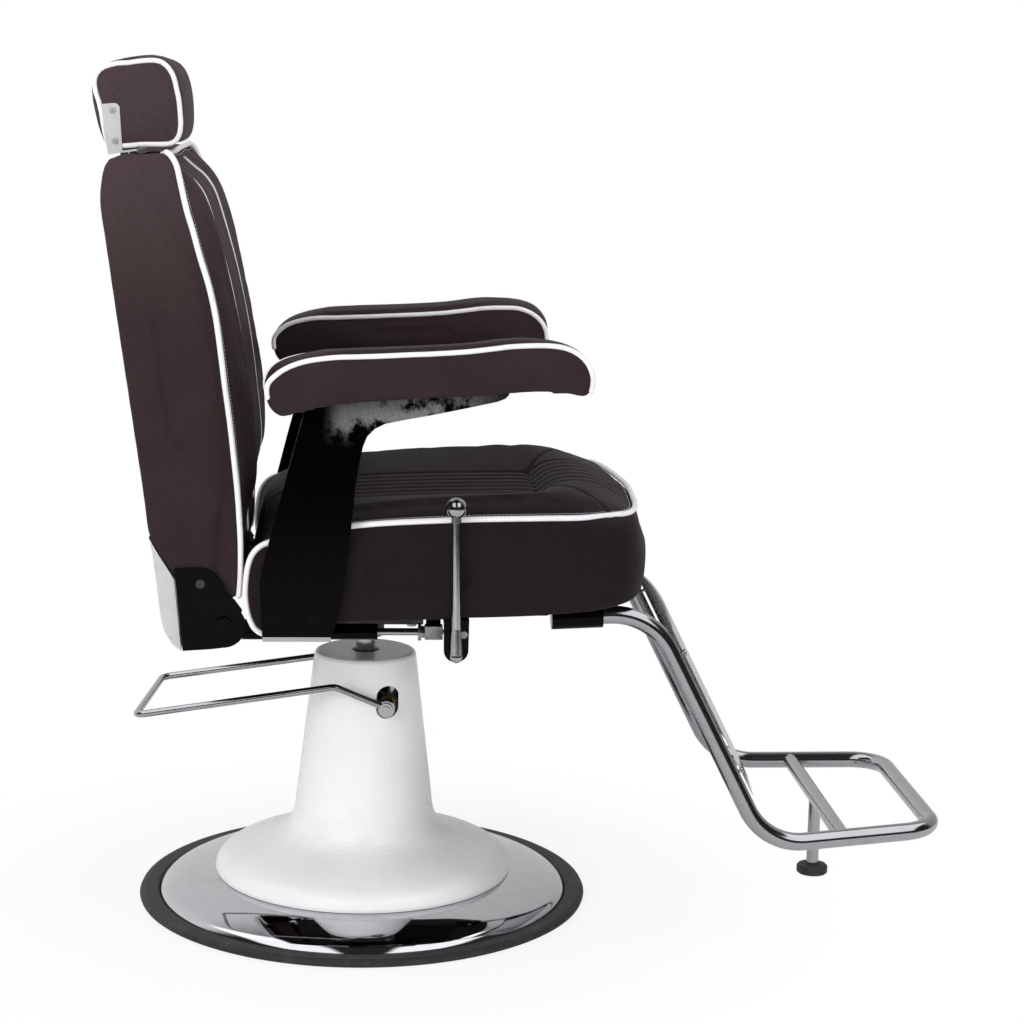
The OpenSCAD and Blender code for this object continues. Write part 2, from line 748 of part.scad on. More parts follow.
// How far ahead of the uprights' middle line the plate's face lies
function calf_face(x) =
  calf_back + calf_t + calf_bow - calf_radius + sqrt(calf_radius * calf_radius - x * x);

module calf_holes() {
  both_sides() for (t = calf_screw_at) on_calf(t)
    translate([calf_screw_x, 0, 0]) {
      translate([0, -40, 0]) rotate([-90, 0, 0]) cylinder(h = 40, r = 2.5);
      translate([0, 0.02 - calf_face(calf_screw_x), 0]) rotate([90, 0, 0]) cylinder(h = 3, r = 4.6);
    }
}

module calf_plate() {
  color(chrome) difference() {
    on_calf(calf_length) translate([0, calf_radius - calf_back - calf_t - calf_bow, 0])
      linear_extrude(calf_length) difference() {
        circle(calf_radius, $fn = 360);
        circle(calf_radius - calf_t, $fn = 360);
        translate([-2 * calf_radius, calf_bow - calf_radius]) square(4 * calf_radius);
      }
    calf_holes();
  }
}

module calf_screws() {
  color(chrome) both_sides() for (t = calf_screw_at) on_calf(t)
    translate([calf_screw_x, -calf_face(calf_screw_x) + 0.02, 0]) rotate([90, 0, 0]) {
      cylinder(h = 2.5, r = 4.5);
      translate([0, 0, -7]) cylinder(h = 7.1, r = 2.5);
    }
}

// ---------- recline lever and gas spring ----------

module lever_bracket() {
  color(black) mirror([1, 0, 0]) difference() {
    union() {
      from_side(267, 5) polygon([[99.5, 424], [132.5, 424], [133, 466.6], [99, 465.2]]);
      cross_pin([116, 424.5], 267, 262, 16.5);
      from_side(267, 27) polygon([[99, 461.2], [133, 462.6], [133, 466.6], [99, 465.2]]);
      from_side(258, 18) polygon([[99, 463], [133, 464.5], [133, 470.9], [99, 469.4]]);
    }
    cross_pin([lever_pivot_f, lever_pivot_z], 280, 250, lever_shaft_r + fit);
    cross_pin([126, 446], 280, 250, 2.5);
  }
}

lever_shaft_r = 4.5;
lever_neck = [112, 601];   // where the lever's rod enters its ball

module recline_lever() {
  pivot = [lever_pivot_f, lever_pivot_z];
  run = norm(lever_neck - pivot);
  color(chrome) mirror([1, 0, 0]) {
    union() {
      cross_pin(pivot, lever_x, gas_x - 10, lever_shaft_r);
      translate(place(pivot, lever_x)) {
        sphere(8.3);
        rotate([asin((lever_neck[0] - pivot[0]) / run), 0, 0]) {
          cylinder(h = 38, r1 = 8, r2 = 6.2);
          translate([0, 0, 38]) cylinder(h = run - 38, r1 = 6.2, r2 = 4.9);
        }
      }
      translate(place(lever_neck, lever_x)) translate([0, 0, -1]) cylinder(h = 12, r = 4);
    }
    // cam that pushes the gas spring's pin
    from_side(gas_x + 4, 8) polygon([
      [lever_pivot_f - 4, lever_pivot_z], [lever_pivot_f + 4, lever_pivot_z],
      [lever_pivot_f + 2, lever_pivot_z + 22], [lever_pivot_f - 4, lever_pivot_z + 22]]);
  }
}

module lever_knob() {
  color(chrome) translate([-lever_x, -lever_neck[0], 0]) difference() {
    union() {
      translate([0, 0, 621.3]) sphere(14);
      translate([0, 0, lever_neck[1] + 0.3]) cylinder(h = 9, r = 6.8);
    }
    translate([0, 0, 590]) cylinder(h = 22.1, r = 4 + fit);
  }
}

module release_pin() {
  color(steel) mirror([1, 0, 0]) translate([gas_x, -lever_pivot_f + 4.3, gas_z]) rotate([-90, 0, 0])
    cylinder(h = 12, r = 3);
}

module release_head() {
  color(steel) mirror([1, 0, 0]) difference() {
    translate([gas_x - 9.5, -100, gas_z - 9]) cube([19, 24, 18]);
    translate([gas_x, -104, gas_z]) rotate([-90, 0, 0]) cylinder(h = 12, r = 3 + fit);
    translate([gas_x, -86, gas_z]) rotate([-90, 0, 0]) cylinder(h = 12, r = gas_rod_r);
  }
  color(steel) mirror([1, 0, 0]) cross_pin([anchor_f, gas_z], gas_x - 9.5, gas_x - 16, 3.95);
}

module gas_rod() {
  color(chrome) mirror([1, 0, 0]) {
    translate([gas_x, -86, gas_z]) rotate([-90, 0, 0]) cylinder(h = 126, r = gas_rod_r);
    translate([gas_x, 40, gas_z]) rotate([-90, 0, 0]) cylinder(h = 10, r = gas_r - 2 - fit);
  }
}

module rod_nuts() {
  color(steel) mirror([1, 0, 0]) difference() {
    union() {
      translate([gas_x, -76, gas_z]) rotate([-90, 0, 0]) cylinder(h = 5, r = 8.5, $fn = 6);
      translate([gas_x, -71, gas_z]) rotate([-90, 0, 0]) cylinder(h = 4, r = 12);
    }
    translate([gas_x, -90, gas_z]) rotate([-90, 0, 0]) cylinder(h = 40, r = gas_rod_r);
  }
}

module gas_cylinder() {
  eye_r = 11;
  color(black) mirror([1, 0, 0]) difference() {
    union() {
      translate([gas_x, -12, gas_z]) rotate([-90, 0, 0]) cylinder(h = 182, r = gas_r);
      translate([gas_x - 4, 165, gas_z - 9]) cube([8, -gas_eye_f - 165, 18]);
      cross_pin([gas_eye_f, gas_z], gas_x + 4, gas_x - 4, eye_r);
    }
    translate([gas_x, -20, gas_z]) rotate([-90, 0, 0]) cylinder(h = 40, r = gas_rod_r + fit);
    translate([gas_x, 0, gas_z]) rotate([-90, 0, 0]) cylinder(h = 165, r = gas_r - 2);
    cross_pin([gas_eye_f, gas_z], gas_x + 6, gas_x - 6, 7);
  }
}

// ---------- back ----------

frame_bar = [-223, 514];

module back_frame() {
  color(black) difference() {
    union() {
      cross_pin(frame_bar, back_half + 2, -back_half - 2, 9.5);
      on_back() {
        both_sides() {
          translate([186, 34, 57]) cube([14, 28, 498]);
          translate([186, 21, 57]) cube([14, 41, 16]);
        }
        translate([-200, 36, 525]) cube([400, 24, 30]);
      }
    }
    on_back() both_sides() translate([post_x, 49, 500]) cylinder(h = 80, r = 10);
    cross_pin(frame_bar, 280, 240, 3);
    cross_pin(frame_bar, -240, -280, 3);
  }
}

module back_board() {
  color(wood) on_back() translate([-232, 20.4, 74]) cube([464, 12, 482]);
}

// Side outlines of the back cushion, [forward, up], from the rear bottom round the front
back_edge = [
  [-255, 520], [-218, 490], [-184, 486], [-172, 500], [-170, 545], [-172.5, 608], [-176.5, 652],
  [-185.5, 745], [-197.5, 825], [-212.5, 900], [-233, 975], [-247, 1034], [-252.5, 1062],
  [-268, 1080], [-325, 1075], [-345, 1061], [-350, 1020], [-341, 950], [-326, 840],
  [-309, 720], [-297, 635], [-290, 578], [-277, 552]];
back_bolster = [
  [-255, 520], [-218, 490], [-184, 485], [-171, 500], [-169, 545], [-164, 602], [-150.5, 648],
  [-152, 735], [-165.5, 820], [-182, 900], [-200, 975], [-222, 1030], [-254, 1060],
  [-276, 1073], [-325, 1072], [-347, 1060], [-352, 1020], [-343, 950], [-328, 840],
  [-311, 720], [-299, 635], [-291, 578], [-277, 552]];
back_middle = [
  [-255, 520], [-218, 490], [-184, 485], [-171, 500], [-169, 545], [-167, 604], [-156, 652],
  [-163, 738], [-174.5, 822], [-190.5, 900], [-211.5, 975], [-231, 1031], [-255, 1063],
  [-275, 1079], [-325, 1076], [-347, 1062], [-352, 1020], [-343, 950], [-328, 840],
  [-311, 720], [-299, 635], [-291, 578], [-277, 552]];

// The back's top dips by this much between its shoulders, under the headrest
top_dip = 11;

module back_cushion() {
  seam = 134;
  crest_x = 225;
  flanks = [back_half, back_half - 6, back_half - 20, crest_x, 195, 164, seam];
  middle = [-120, -86, -50, -34.5, -17, 0, 17, 34.5, 50, 86, 120];
  places = concat([for (x = flanks) -x], middle, [for (i = [len(flanks) - 1:-1:0]) flanks[i]]);
  front = [6, 7, 8, 9, 10, 11];
  top = [12, 13, 14, 15];
  sewn = [seam, 86, 34.5];
  ring = function (x)
    let (g = crown(x / back_half, 12),
      inside = 1 - pow(min(1, max(0, (abs(x) - seam) / (crest_x - seam))), 2),
      dip = top_dip * min(1, max(0, (214 - abs(x)) / 56)),
      valley = len([for (s = sewn) if (abs(abs(x) - s) < 1) s]) > 0 ? 1 : 0)
    [for (i = [0:len(back_edge) - 1])
      let (full = mix(back_bolster[i], back_middle[i], inside), q = mix(back_edge[i], full, g))
      q - [len(search(i, front)) > 0 ? valley * channel_deep : 0,
        len(search(i, top)) > 0 ? dip : 0]];
  side = function (x, keep) [for (q = closed_curve(back_edge, 2))
    place(mix([-258, 780], q, keep), x)];
  color(leather) difference() {
    skin(concat([side(-back_half - 2, 0.95)],
      [for (x = places) [for (q = closed_curve(ring(x), 2)) place(q, x)]],
      [side(back_half + 2, 0.95)]));
    on_back() translate([-233, 20, 56]) cube([466, 90, 504]);
    on_back() both_sides() translate([post_x, 49, 500]) cylinder(h = 200, r = 10.3);
    cross_pin(frame_bar, 280, -280, 10);
  }
}

module back_panel() {
  color(leather) on_back() translate([-232, 64, 116]) cube([464, 9, 443]);
}

// The pale shell that wraps the back's lower rear edge
module back_cover() {
  color(white) difference() {
    from_side(back_half - 1, 2 * back_half - 2) polygon([
      [-249, 421], [-260, 430], [-270, 446], [-275.5, 466], [-281, 514], [-285.8, 552],
      [-290.6, 574], [-286, 565], [-278.6, 551.6], [-268.4, 535.6], [-258, 518]]);
    from_side(back_half - 4, 2 * back_half - 8) polygon([
      [-245, 421], [-258.2, 432], [-267.2, 447.5], [-272.6, 466.6], [-278, 514.4], [-281.6, 545],
      [-274, 532], [-262, 512], [-252, 500]]);
    on_back() both_sides() translate([186 - gap, 30, 40]) cube([14 + 2 * gap, 40, 60]);
  }
}

// Black plate that carries the back on its pivot
module back_bracket() {
  boss_r = 29.5;
  difference() {
    union() {
      from_side(266.5, 4) polygon([
        [-257, 533.5], [-230, 536], [-215, 534.8], [-204.5, 529], [-195.5, 517], [-190, 503.7],
        [-178, 492], [-168, 478], [-pivot_back, pivot_z - boss_r], [-208.7, 425.5], [-246.5, 423]]);
      cross_pin([-pivot_back, pivot_z], 266.5, 262.5, boss_r);
    }
    cross_pin([-pivot_back, pivot_z], 280, 250, 6 + fit);
    cross_pin(frame_bar, 280, 250, 3);
  }
}

module back_bracket_left() color(black) back_bracket();

// The right bracket also carries the stud for the gas spring's eye
module back_bracket_right() {
  color(black) mirror([1, 0, 0]) union() {
    back_bracket();
    cross_pin([gas_eye_f, gas_z], 263, gas_x - 7, 5);
    cross_pin([gas_eye_f, gas_z], gas_x - 5, gas_x - 9, 9);
  }
}

module back_bolts() {
  color(chrome) both_sides() translate([266.5, -frame_bar[0], frame_bar[1]]) side_screw(6, 24);
}

module headrest_guides() {
  color(steel) on_back() both_sides() translate([post_x, 49, 0]) difference() {
    translate([0, 0, 470]) cylinder(h = 152, r = 10);
    translate([0, 0, 474]) cylinder(h = 160, r = post_d / 2 + fit);
  }
}

// ---------- headrest ----------

// Underside of the headrest's bracket, up the back
head_under = 627;

module headrest_posts() {
  color(chrome) on_back() both_sides() translate([post_x, 49, 478])
    cylinder(h = head_under - 478, r = post_d / 2);
}

module headrest_bracket() {
  tab_t = 2.4;
  color([0.86, 0.86, 0.86]) on_back() difference() {
    union() {
      translate([-head_half - tab_t, 27, head_under]) cube([2 * (head_half + tab_t), 38, 2.6]);
      both_sides() translate([head_half, 0, 0]) rotate([90, 0, 90]) linear_extrude(tab_t)
        polygon([[46, head_under], [65, head_under], [66, 660], [63, 693.5], [46, 692.5],
          [43, 691], [40.5, 687]]);
    }
    both_sides() for (q = head_screw_at) translate([head_half - 1, q[0], q[1]])
      rotate([0, 90, 0]) cylinder(h = 5, r = 2);
  }
}

// Places of the headrest's screws, [behind the pivot, up the back]
head_screw_at = [[50, 683], [53, 643.5]];

// Side outlines of the headrest, [forward, up] in the back's own frame
head_edge = [
  [-65.5, 642], [-50, 637.3], [-16, 634.5], [14, 630.5], [27.5, 636], [35, 653], [37.8, 680],
  [37, 706], [31, 727.5], [18, 740], [-6, 743.3], [-49, 743], [-69.5, 727], [-69, 692]];
head_mid = [
  [-68, 639], [-50, 634], [-14, 631], [16, 630], [32, 633], [41, 648], [44, 674],
  [44.5, 702], [43.3, 727], [31, 743], [-2, 748.5], [-48, 745.5], [-71.5, 736], [-75.5, 700]];

module headrest_cushion() {
  places = [-1, -0.96, -0.86, -0.66, -0.35, 0, 0.35, 0.66, 0.86, 0.96, 1];
  edge = closed_curve(head_edge, 2);
  full = closed_curve(head_mid, 2);
  side = function (x, keep) [for (q = edge) place(mix([-20, 684], q, keep), x)];
  color(leather) on_back() skin(concat([side(-head_half + 0.2, 0.9)],
    [for (s = places) [for (i = [0:len(edge) - 1])
      place(mix(edge[i], full[i], crown(s, 5)), s * (head_half - 1))]],
    [side(head_half - 0.2, 0.9)]));
}

module headrest_screws() {
  color(chrome) on_back() both_sides() for (q = head_screw_at)
    translate([head_half + 2.4, q[0], q[1]]) side_screw(4, 2.4);
}

base_plate();
base_ring();
base_dome();
column_cover();
pump_tank();
pump_head();
ram_cylinder();
gland_nut();
pump_bolts();
shaft_bushes();
ram_rod();
ram_piston();
piston_seals();
thrust_washer();
pump_lever();
lever_shaft();
lever_screws();
pump_plunger();
plunger_spring();
swivel_hub();
seat_riser();
seat_bolts();
seat_frame();
seat_board();
seat_cushion();
arm_plate_right();
arm_plate_left();
arm_rails();
arm_bolts();
arm_pad_right();
arm_pad_left();
footrest_sockets();
footrest_tube();
footrest_crossbar();
calf_plate();
calf_screws();
stop_leg();
stop_foot();
lever_bracket();
pivot_bolts();
recline_lever();
lever_knob();
release_pin();
gas_rod();
release_head();
rod_nuts();
gas_cylinder();
back_frame();
back_board();
back_cushion();
back_panel();
back_cover();
back_bracket_right();
back_bracket_left();
back_bolts();
headrest_guides();
headrest_posts();
headrest_bracket();
headrest_cushion();
headrest_screws();
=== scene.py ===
import math

import bmesh
import bpy
from mathutils import Euler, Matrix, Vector
from mathutils.bvhtree import BVHTree
from mathutils.kdtree import KDTree


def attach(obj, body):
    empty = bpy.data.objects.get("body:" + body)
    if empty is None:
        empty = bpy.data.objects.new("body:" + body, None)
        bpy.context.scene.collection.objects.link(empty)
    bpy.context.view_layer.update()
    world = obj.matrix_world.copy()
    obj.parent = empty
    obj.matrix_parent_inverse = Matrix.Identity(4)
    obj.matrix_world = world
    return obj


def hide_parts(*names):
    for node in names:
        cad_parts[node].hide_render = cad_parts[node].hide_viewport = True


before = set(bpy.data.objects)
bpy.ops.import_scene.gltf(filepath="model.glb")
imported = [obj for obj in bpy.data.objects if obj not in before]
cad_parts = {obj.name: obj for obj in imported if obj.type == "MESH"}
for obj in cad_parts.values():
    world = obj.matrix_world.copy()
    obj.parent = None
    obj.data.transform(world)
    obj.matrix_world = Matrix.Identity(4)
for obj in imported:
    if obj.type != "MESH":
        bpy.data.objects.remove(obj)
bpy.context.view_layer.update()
scene = bpy.context.scene
mm = 0.001
print("frame loaded:", len(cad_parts), "parts")


# places are f forward, u up and w towards the sitter's right, in mm

def at(f, u, w):
    return Vector((-w, -f, u)) * mm


def read(p):
    return -p.y / mm, p.z / mm, -p.x / mm


def ease(a, b, x):
    t = min(1.0, max(0.0, (x - a) / (b - a)))
    return t * t * (3 - 2 * t)


def crown(s, sharp):
    return math.sqrt(max(0.0, 1 - abs(s) ** sharp))


def smoothPath(points, steps, closed):
    pts = [Vector(p) for p in points]
    count = len(pts)
    line = []
    for i in range(count if closed else count - 1):
        b, c = pts[i], pts[(i + 1) % count]
        a = pts[i - 1] if closed or i > 0 else 2 * b - c
        d = pts[(i + 2) % count] if closed or i < count - 2 else 2 * c - b
        for k in range(steps):
            t = k / steps
            line.append((2 * b + (c - a) * t + (2 * a - 5 * b + 4 * c - d) * t * t
                         + (3 * b - a - 3 * c + d) * t ** 3) / 2)
    if not closed:
        line.append(pts[-1])
    return line


def evenPath(line, spacing):
    # the same line with points at even distances along it
    gaps = [(b - a).length for a, b in zip(line, line[1:])]
    total = sum(gaps)
    count = max(2, round(total / spacing))
    result, i, done = [], 0, 0.0
    for k in range(count + 1):
        want = total * k / count
        while i < len(gaps) - 1 and done + gaps[i] < want:
            done += gaps[i]
            i += 1
        t = (want - done) / gaps[i] if gaps[i] > 0 else 0
        result.append(line[i].lerp(line[i + 1], min(1.0, max(0.0, t))))
    return result


# shader tools: sums on sockets, and one way to add a node

class Wire:
    # an output socket that can be used in sums
    def __init__(self, finish, socket):
        self.finish, self.socket = finish, socket

    def sum(self, how, a, b):
        return self.finish.node("Math", {"operation": how}, [a, b])

    def __add__(self, other):
        return self.sum("ADD", self, other)

    def __radd__(self, other):
        return self.sum("ADD", other, self)

    def __sub__(self, other):
        return self.sum("SUBTRACT", self, other)

    def __rsub__(self, other):
        return self.sum("SUBTRACT", other, self)

    def __mul__(self, other):
        return self.sum("MULTIPLY", self, other)

    def __rmul__(self, other):
        return self.sum("MULTIPLY", other, self)

    def __abs__(self):
        return self.sum("ABSOLUTE", self, 0.0)

    def between(self, low, high):
        # 0 below low, 1 above high, smooth between
        return self.finish.node("MapRange", {"interpolation_type": "SMOOTHSTEP"},
                                {"Value": self, "From Min": low, "From Max": high})


class Finish:
    # one material and the nodes in it
    def __init__(self, name, tree=None):
        if tree is None:
            self.material = bpy.data.materials.new(name)
            self.material.use_nodes = True
            tree = self.material.node_tree
        self.tree = tree
        tree.nodes.clear()

    def node(self, kind, settings=None, inputs=None, output=0):
        made = self.tree.nodes.new("ShaderNode" + kind)
        for key, value in (settings or {}).items():
            setattr(made, key, value)
        pairs = inputs.items() if isinstance(inputs, dict) else enumerate(inputs or [])
        for key, value in pairs:
            if isinstance(value, Wire):
                self.tree.links.new(value.socket, made.inputs[key])
            else:
                made.inputs[key].default_value = value
        return Wire(self, made.outputs[output])

    def place(self):
        return self.node("TexCoord", output=3)

    def heights(self):
        parts = self.node("SeparateXYZ", None, [self.place()])
        return [Wire(self, parts.socket.node.outputs[i]) for i in range(3)]

    def noise(self, scale, detail, rough, where=None):
        return self.node("TexNoise", None, {"Vector": where or self.place(), "Scale": scale,
                                            "Detail": detail, "Roughness": rough})

    def creases(self, scale):
        return self.node("TexVoronoi", {"feature": "DISTANCE_TO_EDGE"},
                         {"Vector": self.place(), "Scale": scale})

    def waves(self, along, scale):
        return self.node("Math", {"operation": "SINE"}, [along * scale])

    def colourMix(self, factor, a, b):
        return self.node("Mix", {"data_type": "RGBA"}, {0: factor, 6: a, 7: b}, output=2)

    def bump(self, height, strength, distance):
        return self.node("Bump", None, {"Height": height, "Strength": strength, "Distance": distance})

    def done(self, surface):
        output = self.tree.nodes.new("ShaderNodeOutputMaterial")
        self.tree.links.new(surface.socket, output.inputs["Surface"])
        return self.material

    def shine(self, **values):
        # the usual shader
        names = {"colour": "Base Color", "rough": "Roughness", "metal": "Metallic", "normal": "Normal",
                 "specular": "Specular IOR Level"}
        surface = self.node("BsdfPrincipled", None, {names[k]: v for k, v in values.items()})
        return self.done(surface)


def tint(red, green, blue):
    # screen colour, 0 to 255, as the shader wants it
    def straight(c):
        c = c / 255
        return c / 12.92 if c <= 0.04045 else ((c + 0.055) / 1.055) ** 2.4
    return (straight(red), straight(green), straight(blue), 1.0)


# finishes, one function each

leatherLook = {
    "colour": tint(48, 37, 38),
    "worn": tint(53, 42, 43),
    "deep": tint(38, 29, 30),
    "paintedSeatShade": tint(32, 25, 26),  # painted shade on the seat
    "upper": tint(71, 58, 60),  # painted light towards the headrest
    "grain": 620,  # creases to a metre
    "rough": 0.58,
    "litFrontRoll": 0.26,  # from here forward, in m, the seat's front roll is left out of the painted shade: painted light on the front roll
    "seatTop": (0.63, 0.71),  # from the seat's painted shade to the parts above it, in m
    "rear": 0.169,  # the seat's rear face
}


def upholsteryLeather():
    look = leatherLook
    m = Finish("upholstery leather")
    broad = m.noise(9, 3, 0.55)
    mottle = m.noise(160, 2, 0.5)
    wrinkle = m.creases(look["grain"])
    pores = m.noise(2600, 2, 0.6)
    _, y, z = m.heights()
    # painted shade on the seat, below seatTop and forward of rear, held back on the front roll, which gets
    # painted light
    litFrontRoll = (-look["litFrontRoll"] - y).between(0.0, 0.1) * z.between(0.585, 0.61)
    shade = m.colourMix(broad.between(0.35, 0.75), look["colour"], look["worn"])
    seatShadeMask = (1 - z.between(*look["seatTop"])) * (look["rear"] - y).between(0.0, 0.005)
    shade = m.colourMix(seatShadeMask * (1 - litFrontRoll * 0.8), shade, look["paintedSeatShade"])
    # painted light: the leather grows paler upwards towards the headrest
    shade = m.colourMix(z.between(0.78, 1.12), shade, look["upper"])
    colour = m.colourMix(mottle.between(0.45, 0.75) * 0.2, shade, look["deep"])
    height = wrinkle.between(0.0, 0.16) * 0.7 + pores * 0.35
    rough = look["rough"] + (mottle - 0.5) * 0.16 + (1 - wrinkle.between(0.0, 0.12)) * 0.06
    return m.shine(colour=colour, rough=rough, specular=0.09, normal=m.bump(height, 0.24, 0.0005))


def pipingVinyl():
    m = Finish("piping vinyl")
    soil = m.noise(70, 3, 0.6)
    fine = m.noise(1800, 2, 0.5)
    colour = m.colourMix(soil.between(0.5, 0.85), tint(244, 243, 246), tint(226, 225, 230))
    return m.shine(colour=colour, rough=0.36 + fine * 0.12, normal=m.bump(fine, 0.15, 0.0003))


def stitchThread():
    m = Finish("stitch thread")
    _, y, z = m.heights()
    ply = m.waves(y + z, 5200)
    colour = m.colourMix(ply * 0.5 + 0.5, tint(178, 176, 190), tint(214, 213, 224))
    return m.shine(colour=colour, rough=0.6, normal=m.bump(ply, 0.4, 0.0002))


columnLook = {"colour": tint(248, 248, 249), "shade": tint(244, 244, 246), "rough": 0.22}


def columnEnamel():
    look = columnLook
    m = Finish("column enamel")
    cast = m.noise(14, 3, 0.5)
    peel = m.noise(420, 2, 0.45)
    chip = m.noise(52, 2, 0.4)
    colour = m.colourMix(cast.between(0.45, 0.75), look["colour"], look["shade"])
    colour = m.colourMix(chip.between(0.78, 0.8) * 0.5, colour, tint(190, 190, 192))
    return m.shine(colour=colour, rough=look["rough"] + cast * 0.08, specular=0.4,
                   normal=m.bump(peel * 0.4 + cast * 0.5, 0.05, 0.0008))


def shellPaint():
    m = Finish("shell paint")
    dust = m.noise(40, 3, 0.6)
    peel = m.noise(700, 2, 0.5)
    colour = m.colourMix(dust.between(0.5, 0.8), tint(196, 195, 198), tint(181, 180, 185))
    return m.shine(colour=colour, rough=0.34 + dust * 0.1, normal=m.bump(peel, 0.1, 0.0006))


def polishedChrome(name, shade, rough, ripple):
    m = Finish(name)
    smear = m.noise(26, 3, 0.6)
    scratch = m.noise(900, 3, 0.7)
    wave = m.noise(7, 1, 0.3)
    colour = m.colourMix(smear.between(0.4, 0.8), tint(*shade), tint(*[c - 8 for c in shade]))
    return m.shine(colour=colour, metal=1.0, rough=rough + smear.between(0.5, 0.95) * 0.02 + scratch * 0.02,
                   normal=m.bump(wave, ripple, 0.002))


def blackEnamel():
    m = Finish("black enamel")
    dust = m.noise(55, 4, 0.65)
    speck = m.noise(600, 3, 0.7)
    peel = m.noise(300, 2, 0.5)
    colour = m.colourMix(dust.between(0.5, 0.8) * speck.between(0.45, 0.65), tint(3, 3, 3), tint(15, 15, 17))
    return m.shine(colour=colour, rough=0.12 + dust.between(0.45, 0.8) * 0.2, specular=0.07,
                   normal=m.bump(peel, 0.06, 0.0006))


def armPlateEnamel():
    # black paint with a pale grey cloud where the plate flares under the pad: dust and a painted reflection
    m = Finish("arm plate enamel")
    _, y, z = m.heights()
    cloud = m.noise(19, 5, 0.66)
    speck = m.noise(300, 3, 0.7)
    peel = m.noise(260, 2, 0.5)
    rim = z - 0.716 + y * 0.16  # above 0 in the flare
    # the pale cloud on the upper flare is dust and a painted reflection
    upper = z.between(0.700, 0.745) * (y + 0.2).between(0.0, 0.12) * (0.065 - y).between(0.0, 0.03)
    dustAndReflection = upper * cloud.between(0.4, 0.52) * (0.75 + speck.between(0.4, 0.6) * 0.25)
    dustAndReflection = dustAndReflection * (1 - 0.55 * (rim * 9).between(0.0, 0.5))
    freckle = cloud.between(0.6, 0.75) * speck.between(0.58, 0.72) * 0.2
    colour = m.colourMix(dustAndReflection + freckle * (1 - dustAndReflection), tint(2, 2, 2), tint(138, 138, 138))
    return m.shine(colour=colour, rough=0.12 + dustAndReflection * 0.35 + cloud * 0.08, specular=0.06,
                   normal=m.bump(peel + speck * 0.2, 0.08, 0.0007))


def moldedRubber():
    m = Finish("molded rubber")
    dust = m.noise(35, 4, 0.6)
    fine = m.noise(900, 3, 0.6)
    colour = m.colourMix(dust.between(0.45, 0.8), tint(34, 34, 35), tint(56, 55, 54))
    return m.shine(colour=colour, rough=0.5 + fine * 0.2, normal=m.bump(fine, 0.25, 0.0004))


def brightSteel():
    m = Finish("bright steel")
    x, y, z = m.heights()
    turned = m.noise(1, 4, 0.7, where=m.node("CombineXYZ", None, [x * 60, y * 60, z * 1400]))
    stain = m.noise(45, 3, 0.6)
    colour = m.colourMix(stain.between(0.4, 0.75), tint(168, 168, 170), tint(140, 139, 140))
    return m.shine(colour=colour, metal=1.0, rough=0.26 + stain * 0.16, normal=m.bump(turned, 0.08, 0.0003))


def platedScrew():
    m = Finish("plated screw")
    stain = m.noise(150, 3, 0.6)
    colour = m.colourMix(stain.between(0.4, 0.7), tint(176, 176, 180), tint(146, 146, 150))
    return m.shine(colour=colour, metal=0.25, rough=0.32 + stain * 0.1)


def darkIron():
    m = Finish("dark iron")
    skin = m.noise(70, 4, 0.6)
    sand = m.noise(800, 3, 0.6)
    colour = m.colourMix(skin.between(0.4, 0.7), tint(64, 65, 68), tint(84, 83, 82))
    return m.shine(colour=colour, metal=0.7, rough=0.5 + skin * 0.2, normal=m.bump(sand, 0.4, 0.0008))


def bushBronze():
    m = Finish("bush bronze")
    stain = m.noise(90, 3, 0.6)
    colour = m.colourMix(stain, tint(176, 134, 76), tint(142, 102, 58))
    return m.shine(colour=colour, metal=1.0, rough=0.3 + stain * 0.15)


def stainedPly():
    # boards under the cushions, under their black dust cloth
    m = Finish("stained ply")
    x, y, z = m.heights()
    grain = m.noise(1, 4, 0.6, where=m.node("CombineXYZ", None, [x * 18, y * 220, z * 600]))
    weave = m.waves(x, 5200) * m.waves(y, 5200)
    colour = m.colourMix(grain.between(0.35, 0.7), tint(20, 17, 16), tint(34, 28, 26))
    colour = m.colourMix(weave.between(0.2, 0.9) * 0.3, colour, tint(44, 40, 40))
    return m.shine(colour=colour, rough=0.8, specular=0.2, normal=m.bump(weave + grain, 0.2, 0.0004))


finishes = {
    "leather": upholsteryLeather(),
    "piping": pipingVinyl(),
    "stitch": stitchThread(),
    "column": columnEnamel(),
    "shell": shellPaint(),
    "chrome": polishedChrome("tube chrome", (170, 171, 174), 0.12, 0.01),
    # the bolts' chrome is made dark: a painted dark reflection
    "bolt": polishedChrome("bolt chrome", (78, 78, 82), 0.2, 0.02),
    "dome": polishedChrome("base chrome", (196, 197, 200), 0.03, 0.012),
    "black": blackEnamel(),
    "armPlate": armPlateEnamel(),
    "rubber": moldedRubber(),
    "steel": brightSteel(),
    "screw": platedScrew(),
    "iron": darkIron(),
    "bronze": bushBronze(),
    "ply": stainedPly(),
}

nodeFinish = {
    "column": ["column_cover"],
    "shell": ["back_cover", "headrest_bracket"],
    "dome": ["base_dome"],
    "chrome": ["pump_lever", "lever_shaft", "lever_screws", "ram_rod", "arm_rails", "footrest_tube",
               "footrest_crossbar", "calf_plate", "calf_screws", "stop_leg", "recline_lever", "lever_knob",
               "gas_rod", "headrest_posts"],
    "bolt": ["back_bolts"],
    "screw": ["headrest_screws"],
    "black": ["seat_frame", "arm_bolts", "footrest_sockets", "lever_bracket", "gas_cylinder", "back_frame",
              "back_bracket_right", "back_bracket_left", "pivot_bolts"],
    "armPlate": ["arm_plate_right", "arm_plate_left"],
    "rubber": ["base_ring", "stop_foot", "piston_seals"],
    "iron": ["base_plate", "pump_tank", "pump_head", "swivel_hub", "seat_riser"],
    "bronze": ["shaft_bushes", "thrust_washer"],
    "ply": ["seat_board", "back_board"],
}

